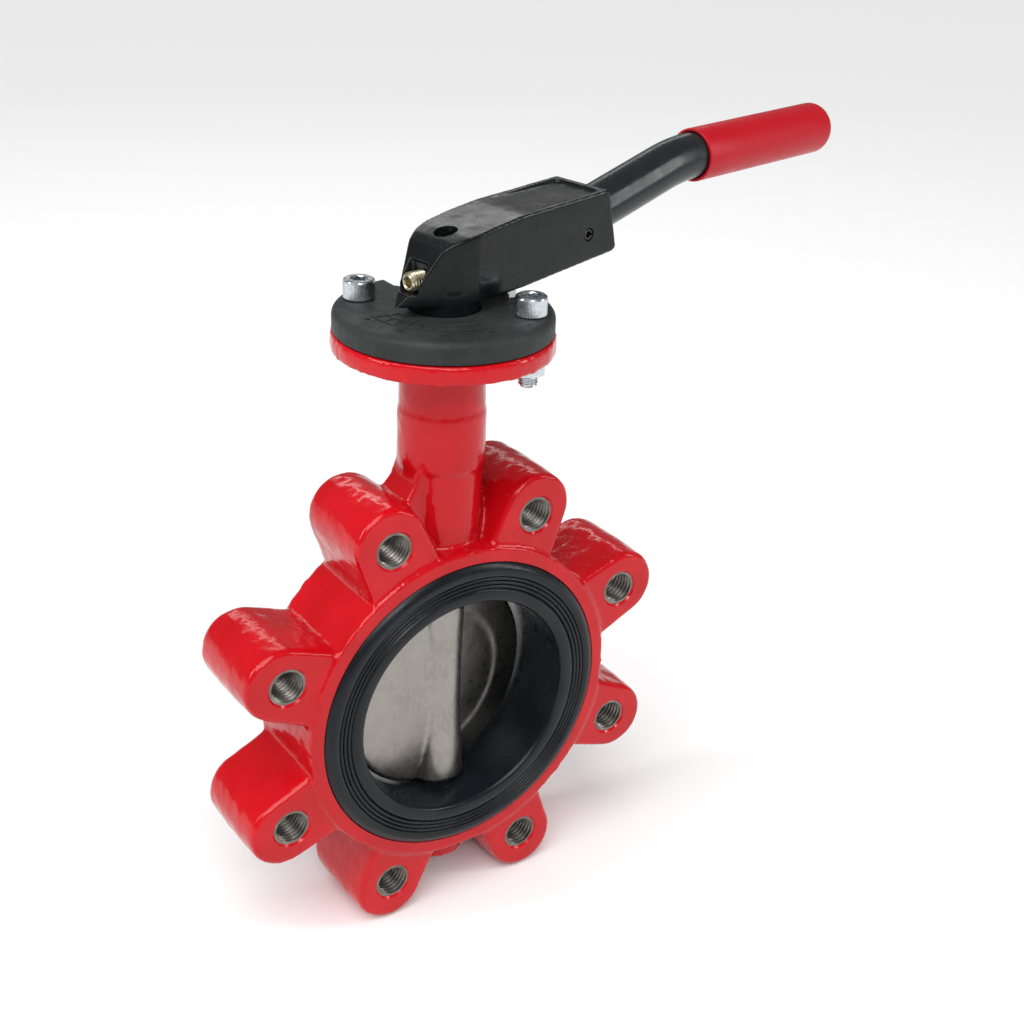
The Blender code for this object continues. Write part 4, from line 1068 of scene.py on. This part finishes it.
def make_disc(look, rim_look, recess_shade_look):
    """The cast disc with a turned rim."""
    disc = cast("valve_disc", [make_disc_plate(), make_disc_hub()], 0.7 * MM, 5)
    roughen(disc, 0.12 * MM, 9 * MM)
    start = DISC_RADIUS - DISC_SOCKET_DEPTH
    cutters = [
        box("disc_socket", (-SOCKET_HALF, -SOCKET_HALF, start),
            (SOCKET_HALF, SOCKET_HALF, DISC_RADIUS + PAST)),
        cylinder("disc_bore", STEM_RADIUS + TOUCH_GAP, -DISC_RADIUS - PAST, -start),
    ]
    combine(disc, "DIFFERENCE", *cutters)
    disc.data.transform(LEVER_FRAME)
    shade(disc, 40)
    dress(disc, look, "rotor", "cast_nickel", "disc")
    disc.data.materials.append(rim_look)
    disc.data.materials.append(recess_shade_look)
    for face in disc.data.polygons:
        centre = LEVER_FRAME.inverted() @ face.center
        aside = centre.x if centre.y < 0 else -centre.x
        if hypot(centre.x, centre.z) > DISC_RADIUS - POLISHED_WIDTH:
            face.material_index = int(abs(centre.y) < POLISHED_HALF)
        # painted shade: faces on the sunk side, away from the rim, take the darker third material
        elif aside > PAINTED_SHADE_START and abs(centre.y) < PAINTED_SHADE_HALF:
            face.material_index = 2
    return disc


# ---------------- notch plate and fasteners


def notched_edge():
    """Edge of the plate's rebate from the open stop back to the shut stop."""
    radii = (PLATE_RADIUS + PAST, LAND_RADIUS)
    edge = [(-STOP_OFFSET, sqrt(radius**2 - STOP_OFFSET**2)) for radius in radii]
    root = LAND_RADIUS - NOTCH_DEPTH
    half = NOTCH_WIDTH / 2
    for index in reversed(range(NOTCH_COUNT)):
        turn = index * NOTCH_PITCH
        for radius, side in ((LAND_RADIUS, half), (root, half), (root, -half), (LAND_RADIUS, -half)):
            reach = sqrt(radius**2 - side**2)
            x = reach * cos(turn) - side * sin(turn)
            y = reach * sin(turn) + side * cos(turn)
            edge.append((x, y))
    return edge + [(y, x) for x, y in reversed(edge[:2])]


def make_notch_plate(look):
    """The moulded plate with a soft upper edge, its rebate and its holes."""
    corner = arc(PLATE_ROUND, pi / 2, 0, 8, (PLATE_RADIUS - PLATE_ROUND, PLATE_TOP - PLATE_ROUND))
    profile = [(0, PLATE_TOP)] + corner + [(PLATE_RADIUS, PLATE_BOTTOM), (0, PLATE_BOTTOM)]
    plate = lathe("plate_blank", profile, segments=192)
    low, high, far = PLATE_BOTTOM - PAST, PLATE_TOP + PAST, 2 * PLATE_RADIUS
    outline = notched_edge() + [(far, -STOP_OFFSET), (far, far), (-STOP_OFFSET, far)]
    combine(plate, "DIFFERENCE", prism("rebate", outline, low, high))
    plate = cast("lever_notch_plate", [plate], 0.6 * MM, 2)
    cutters = [cylinder("hub_hole", HUB_RADIUS + HUB_PLAY, low, high, segments=96)]
    screw_hole = SCREW_RADIUS + TOUCH_GAP
    for number, place in enumerate(bolt_places()[::2]):
        cutters.append(cylinder(f"screw_hole_{number}", screw_hole, low, high, centre=(*place, 0)))
    combine(plate, "DIFFERENCE", *cutters)
    shade(plate, 40)
    return dress(plate, look, "housing", "grey_plastic", "notch_plate")


def ridge(name, radius):
    """A raised line along an arc on the notch plate."""
    steps = round(abs(SCALE_END - SCALE_START) * 24)
    outer = arc(radius + MARK_HALF_WIDTH, SCALE_START, SCALE_END, steps)
    inner = arc(radius - MARK_HALF_WIDTH, SCALE_END, SCALE_START, steps)
    return prism(name, outer + inner, PLATE_TOP - MARK_ROOT, PLATE_TOP + MARK_HEIGHT)


def make_scale(look):
    """The raised scale under the pointer: three arcs, a tick for each notch and round numbers of degrees."""
    marks = [ridge(f"arc_{number}", radius) for number, radius in enumerate(SCALE_RADII)]
    for index in range(NOTCH_COUNT):
        turn = pi + index * NOTCH_PITCH
        long_mark = index % LONG_TICK == 0
        near = (SCALE_RADII[0] if long_mark else SCALE_RADII[1], -TICK_HALF_WIDTH, PLATE_TOP - MARK_ROOT)
        mark = box(f"tick_{index}", near, (SCALE_RADII[2], TICK_HALF_WIDTH, PLATE_TOP + MARK_HEIGHT))
        mark.data.transform(Matrix.Rotation(turn, 4, "Z"))
        marks.append(mark)
        if long_mark:
            marks.append(make_number(str(10 * index), turn))
    scale = shade(joined("scale_marks", marks), 30)
    return dress(scale, look, "housing", "grey_plastic")


def make_number(text, turn):
    """A raised number that reads from outside the plate."""
    curve = bpy.data.curves.new("number_" + text, "FONT")
    curve.body = text
    curve.size = NUMBER_SIZE
    curve.extrude = MARK_HEIGHT
    curve.align_x = curve.align_y = "CENTER"
    flat = bpy.data.objects.new("number_" + text, curve)
    bpy.context.scene.collection.objects.link(flat)
    bpy.context.view_layer.update()
    mesh = bpy.data.meshes.new_from_object(flat.evaluated_get(bpy.context.evaluated_depsgraph_get()))
    bpy.data.objects.remove(flat, do_unlink=True)
    mesh.transform(Matrix.Translation((0, -NUMBER_RADIUS, PLATE_TOP - SLIP)))
    mesh.transform(Matrix.Rotation(turn + pi / 2, 4, "Z"))
    number = link("number_" + text, mesh)
    bm = bmesh.new()
    bm.from_mesh(mesh)
    bmesh.ops.remove_doubles(bm, verts=bm.verts, dist=0.005 * MM)
    bm.to_mesh(mesh)
    bm.free()
    return number


def hexagon(flats, turn):
    """Corners of a hexagon by its width across flats."""
    reach = flats / sqrt(3)
    angles = [turn + tau * i / 6 for i in range(6)]
    return [(reach * cos(a), reach * sin(a)) for a in angles]


def hex_socket(flats, mouth, top, turn):
    """Cutters of a screw's hexagon socket and of the dished mouth round it."""
    throat, dish = mouth
    wide = throat + dish + CLEAR
    profile = [(0, top + CLEAR), (wide, top + CLEAR), (throat, top - dish), (0, top - dish)]
    socket = prism("socket", hexagon(flats, turn), top - SCREW_SOCKET_DEPTH, top + CLEAR)
    return lathe("mouth", profile), socket


def make_cap_screw(name, node, place, turn, look):
    """A socket head screw: knurled head, chamfers, hexagon socket and a threaded end."""
    seat = PLATE_TOP + TOUCH_GAP
    top = seat + SCREW_HEAD_HEIGHT

    def knurled(radius, height, column):
        on_side = KNURL_START < height - seat < KNURL_END
        return radius - KNURL_DEPTH if on_side and column % 4 in (0, 1) else radius

    side = [(SCREW_HEAD_RADIUS - inset * MM, seat + height * MM) for inset, height in SCREW_HEAD_PROFILE]
    head = lathe(name, [(0, seat), *side, (0, top)], segments=4 * KNURLS, wobble=knurled)
    hole = [(0, top - CLEAR), (DRILL_RADIUS, top - CLEAR)]
    hole += [(DRILL_RADIUS, top - DRILL_SHOULDER), (0, top - DRILL_POINT)]
    combine(head, "DIFFERENCE", *hex_socket(SCREW_SOCKET, SCREW_MOUTH, top, turn), lathe("drill", hole))
    thread_top = seat - SCREW_PLAIN_LENGTH
    shank = cylinder("shank", SCREW_RADIUS - SLIP, thread_top, seat + SHANK_OVERLAP, segments=48)
    end = thread("end", SCREW_RADIUS - SCREW_THREAD_DEPTH, SCREW_RADIUS - THREAD_SHAVE, SCREW_PITCH,
                 seat - SCREW_LENGTH, thread_top + THREAD_OVERLAP, chamfer=SCREW_CHAMFER)
    screw = joined(name, [head, shank, end])
    screw.data.transform(Matrix.Translation((*place, 0)))
    shade(screw, 28)
    return dress(screw, look, "housing", "bright_zinc", node)


def make_nut(name, node, place, turn, look):
    """A hexagon nut with chamfered corners and a dished hole."""
    top = FLANGE_BOTTOM - TOUCH_GAP
    foot = top - NUT_HEIGHT
    nut = prism(name, hexagon(NUT_FLATS, turn), foot - CLEAR, top + CLEAR)
    flat = NUT_FLATS / 2 - NUT_CHAMFER
    far = NUT_FLATS / sqrt(3) + NUT_ROUND_MARGIN
    drop = (far - flat) * tan(radians(30))
    rounded = [(0, top), (flat, top), (far, top - drop), (far, foot + drop), (flat, foot), (0, foot)]
    combine(nut, "INTERSECT", lathe("nut_round", rounded))
    wide, bore = SCREW_RADIUS + NUT_DISH_WIDTH, SCREW_RADIUS + TOUCH_GAP
    hole = [(0, top + CLEAR), (wide, top + CLEAR), (bore, top - NUT_DISH)]
    hole += [(bore, foot + NUT_DISH), (wide, foot - CLEAR), (0, foot - CLEAR)]
    combine(nut, "DIFFERENCE", lathe("nut_hole", hole, segments=48))
    nut.data.transform(Matrix.Translation((*place, 0)))
    shade(nut, 25)
    return dress(nut, look, "housing", "bright_zinc", node)


# ---------------- lever head


def head_side():
    """Side view of the lever head."""
    chamfer, rise = HEAD_REAR_CHAMFER
    points = [
        (-NOSE_REACH, HEAD_BOTTOM), (0, HEAD_BOTTOM), (HEAD_SHOULDER, HEAD_BOTTOM + HEAD_BELLY_RISE),
        (HEAD_LENGTH - chamfer, HEAD_REAR_BOTTOM), (HEAD_LENGTH, HEAD_REAR_BOTTOM + rise),
        (HEAD_REAR_TOP, HEAD_HEIGHT - HEAD_TOP_CHAMFER), (HEAD_REAR_TOP - HEAD_TOP_CHAMFER, HEAD_HEIGHT),
        (HEAD_SHOULDER, HEAD_SHOULDER_HEIGHT), *HEAD_ARCH,
        (-BROW_REACH, BROW_HEIGHT), (-(BROW_REACH + NOSE_REACH) / 2, NOSE_MIDDLE_HEIGHT),
    ]
    return [(reach, PLATE_TOP + height) for reach, height in points]


def head_plan():
    """Top view of the lever head."""
    half = HEAD_WIDTH / 2
    middle = (BROW_REACH + NOSE_REACH) / 2
    return mirrored([
        (HEAD_LENGTH + PAST, half), (CHEEK_START, half), (CHEEK_END, half - CHEEK_TAPER),
        (-BROW_REACH, BROW_HALF_WIDTH), (-middle, BROW_HALF_WIDTH * NOSE_MIDDLE_SHARE),
        (-NOSE_REACH, NOSE_HALF_WIDTH),
    ])


def make_roof_panel():
    """The cutter of the shallow panel in the roof, which fades out towards the front."""
    slope = atan2(HEAD_HEIGHT - HEAD_SHOULDER_HEIGHT, HEAD_REAR_TOP - HEAD_SHOULDER)
    corner = (PANEL_REAR - PANEL_CORNER, PANEL_HALF_WIDTH - PANEL_CORNER)
    outline = mirrored([(PANEL_FRONT, PANEL_HALF_WIDTH)] + arc(PANEL_CORNER, pi / 2, 0, 5, corner))
    panel = prism("roof_panel", outline, 0, PAST + CLEAR)
    tilt = Matrix.Rotation(PANEL_TILT - slope, 4, "Y")
    height = PLATE_TOP + HEAD_SHOULDER_HEIGHT + (PANEL_FRONT - HEAD_SHOULDER) * tan(slope)
    there, back = Matrix.Translation((PANEL_FRONT, 0, height)), Matrix.Translation((-PANEL_FRONT, 0, 0))
    panel.data.transform(there @ tilt @ back)
    return panel


def make_screw_pocket():
    """The cutter of the pocket that the set screw stands in."""
    near, far = POCKET_REACH
    low, high = POCKET_HEIGHT
    return box("pocket", (-far, -POCKET_HALF_WIDTH, SET_SCREW_Z + low),
               (-near, POCKET_HALF_WIDTH, SET_SCREW_Z + high))


def head_cavity():
    """Side view of the hollow that the tube moves in."""
    roof, shoulder = HEAD_HEIGHT - HEAD_ROOF, HEAD_SHOULDER_HEIGHT - HEAD_ROOF
    points = [
        (CAVITY_START, -PAST), (HEAD_LENGTH + PAST, -PAST), (HEAD_LENGTH + PAST, roof), (HEAD_REAR_TOP, roof),
        (HEAD_SHOULDER, shoulder - CAVITY_DROP[0]), (CAVITY_START, shoulder - CAVITY_DROP[1]),
    ]
    return [(reach, PLATE_TOP + height) for reach, height in points]


def make_head(look):
    """The cast lever head."""
    half = HEAD_WIDTH / 2
    past = half + PAST
    shell = prism("shell", head_side(), -past, past, axis="Y")
    plan = prism("plan", head_plan(), PLATE_TOP - HEAD_HEIGHT, PLATE_TOP + 2 * HEAD_HEIGHT)
    combine(shell, "INTERSECT", plan)
    combine(shell, "DIFFERENCE", make_roof_panel(), make_screw_pocket())
    hub = cylinder("hub", HUB_RADIUS, PLATE_TOP - HUB_DROP, PLATE_TOP + HEAD_BOTTOM + PAST, segments=96)
    head = cast("lever_casting", [shell, hub], 0.5 * MM, 8)
    roughen(head, 0.16 * MM, 11 * MM)
    low, top = PLATE_TOP - HUB_DROP - PAST, PLATE_TOP + HEAD_HEIGHT
    cutters = [
        prism("cavity", head_cavity(), HEAD_WALL - half, half - HEAD_WALL, axis="Y"),
        box("socket", (-SOCKET_HALF, -SOCKET_HALF, low), (SOCKET_HALF, SOCKET_HALF, STEM_TOP + TOUCH_GAP)),
        cylinder("crown_hole", CROWN_HOLE_RADIUS, STEM_TOP - CLEAR, top),
        cylinder("clearance", STEM_RADIUS + TOUCH_GAP, low, PLATE_TOP + ROUND_STEM_RISE),
        cylinder("nose_hole", SCREW_RADIUS + TOUCH_GAP, -NOSE_REACH - PAST, 0, "X", (0, 0, SET_SCREW_Z)),
        cylinder("pin_hole", PIN_RADIUS + TOUCH_GAP, -past, past, "Y", (PIN_REACH, 0, PIN_Z)),
    ]
    combine(head, "DIFFERENCE", *cutters)
    head.data.transform(LEVER_FRAME)
    shade(head, 40)
    return dress(head, look, "rotor", "black_paint", "lever_head")


def make_set_screw(look):
    """The threaded set screw with its hexagon socket."""
    length = SET_SCREW_REACH - SET_SCREW_TIP
    screw = thread("stem_set_screw", SCREW_RADIUS - SET_SCREW_THREAD_DEPTH, SCREW_RADIUS - THREAD_SHAVE,
                   SCREW_PITCH, 0, length, chamfer=SET_SCREW_CHAMFER)
    combine(screw, "DIFFERENCE", *hex_socket(SET_SCREW_SOCKET, SET_SCREW_MOUTH, length, SET_SCREW_TURN))
    screw.data.transform(Matrix.Rotation(-pi / 2, 4, "Y"))
    screw.data.transform(LEVER_FRAME @ Matrix.Translation((-SET_SCREW_TIP, 0, SET_SCREW_Z)))
    shade(screw, 28)
    return dress(screw, look, "rotor", "yellow_zinc", "set_screw")


def make_roll_pin(look):
    """The slotted spring pin with rounded ends."""
    half = HEAD_WIDTH / 2 - PIN_SUNK
    inner = PIN_RADIUS - PIN_WALL
    narrow, length = PIN_END
    side = mirrored([(inner, half), (PIN_RADIUS - narrow, half), (PIN_RADIUS, half - length)])
    pin = lathe("spring_pin", side, axis="Y", segments=48, closed=True)
    past = half + CLEAR
    slot = box("slot", (0, -past, -PIN_SLOT_HALF), (PIN_RADIUS + CLEAR, past, PIN_SLOT_HALF))
    combine(pin, "DIFFERENCE", slot)
    pin.data.transform(LATCH_FRAME)
    shade(pin, 35)
    return dress(pin, look, "rotor", "turned_steel", "roll_pin")


# ---------------- tube and grip


def along_tube(distance):
    """Point on the tube's sloping stretch, measured from the pin."""
    return Vector((distance * cos(TUBE_SLOPE), 0, distance * sin(TUBE_SLOPE)))


def tube_path(front, rear, steps=16):
    """Centre line of the tube from the pin's frame: a sloping stretch, a bend and a flatter stretch."""
    bend_start = along_tube(TUBE_STRAIGHT)
    points = [along_tube(front), along_tube(TUBE_STRAIGHT / 2), bend_start]
    for index in range(1, steps + 1):
        slope = TUBE_SLOPE + (GRIP_SLOPE - TUBE_SLOPE) * index / steps
        x = bend_start.x + TUBE_BEND_RADIUS * (sin(TUBE_SLOPE) - sin(slope))
        z = bend_start.z + TUBE_BEND_RADIUS * (cos(slope) - cos(TUBE_SLOPE))
        points.append(Vector((x, 0, z)))
    end = points[-1]
    points.append(end + Vector((rear * cos(GRIP_SLOPE), 0, rear * sin(GRIP_SLOPE))))
    return points


def make_tube(look):
    """The bent tube, cross-drilled for the pin."""
    rear = GRIP_LENGTH - GRIP_END - TOUCH_GAP
    tube = sweep("bent_tube", tube_path(-TUBE_FRONT, rear), TUBE_RADIUS, TUBE_RADIUS - TUBE_WALL, sides=64)
    past = TUBE_RADIUS + PAST
    hole = cylinder("tube_hole", PIN_RADIUS + PIN_FIT, -past, past, axis="Y", segments=32)
    combine(tube, "DIFFERENCE", hole)
    tube.data.transform(LATCH_FRAME)
    shade(tube, 40)
    return dress(tube, look, "latch", "black_paint", "lever_tube")


def make_grip(look):
    """The red sleeve: a rolled lip in front and a round closed end."""
    inner, floor = TUBE_RADIUS + TOUCH_GAP, GRIP_LENGTH - GRIP_END
    end, radius = GRIP_LENGTH - GRIP_SHAVE, GRIP_RADIUS - GRIP_SHAVE
    quarter = pi / 2
    profile = [(0, end), *arc(GRIP_ROUND, quarter, 0, 12, (radius - GRIP_ROUND, end - GRIP_ROUND))]
    profile += [(radius, ring) for ring in GRIP_RINGS]
    profile += arc(GRIP_LIP, 0, -quarter, 4, (radius - GRIP_LIP, GRIP_LIP))
    profile += arc(GRIP_INNER_LIP, -quarter, -pi, 3, (inner + GRIP_INNER_LIP, GRIP_INNER_LIP))
    grip = lathe("hand_grip", profile + [(inner, floor), (0, floor)])
    start = tube_path(0, 0)[-1]
    lay = Matrix.Rotation(quarter - GRIP_SLOPE, 4, "Y")
    grip.data.transform(LATCH_FRAME @ Matrix.Translation(start) @ lay)
    shade(grip, 40)
    return dress(grip, look, "latch", "red_vinyl", "grip")


# ---------------- assembly


def paint_nodes(looks):
    """Give the CAD nodes that stay their finished materials."""
    for names, look in looks:
        for name in names:
            node = frame["nodes"][name]
            for index in range(max(1, len(node.data.materials))):
                if len(node.material_slots) <= index:
                    node.data.materials.append(look)
                node.material_slots[index].material = look


def main():
    """Build every piece."""
    make_stage()
    make_lights()
    make_camera()
    rubber, steel, bronze = black_rubber(), turned_steel(), bearing_bronze()
    bright = zinc("bright_zinc", (0.50, 0.54, 0.58), (0.68, 0.73, 0.77), (0.58, 0.64, 0.66))
    yellow = zinc("yellow_zinc", (0.50, 0.46, 0.34), (0.66, 0.61, 0.46), (0.60, 0.52, 0.34))
    paint_nodes([
        (("bush_upper", "bush_middle", "bush_lower"), bronze),
        (("o_ring_upper", "o_ring_lower", "plug_seal"), rubber),
        (("thrust_washer", "retaining_ring", "stem_upper", "stem_lower"), steel),
        (("latch_spring", "latch_tooth"), steel),
        (("bottom_plug",), bright),
    ])
    plastic = grey_plastic()
    make_body(red_enamel())
    make_lug_threads(thread_steel())
    make_liner(rubber)
    make_disc(cast_nickel(), polished_rim(), recess_painted_shade())
    make_notch_plate(plastic)
    make_scale(plastic)
    turns = (radians(12), radians(38))
    for side, place, turn in zip(("left", "right"), bolt_places()[::2], turns):
        make_cap_screw(f"socket_screw_{side}", f"cap_screw_{side}", place, turn, bright)
        make_nut(f"flange_nut_{side}", f"hex_nut_{side}", place, turn + NUT_TURN, bright)
    make_head(black_paint())
    make_set_screw(yellow)
    make_roll_pin(dark_steel())
    make_tube(tube_paint())
    make_grip(red_vinyl())


main()
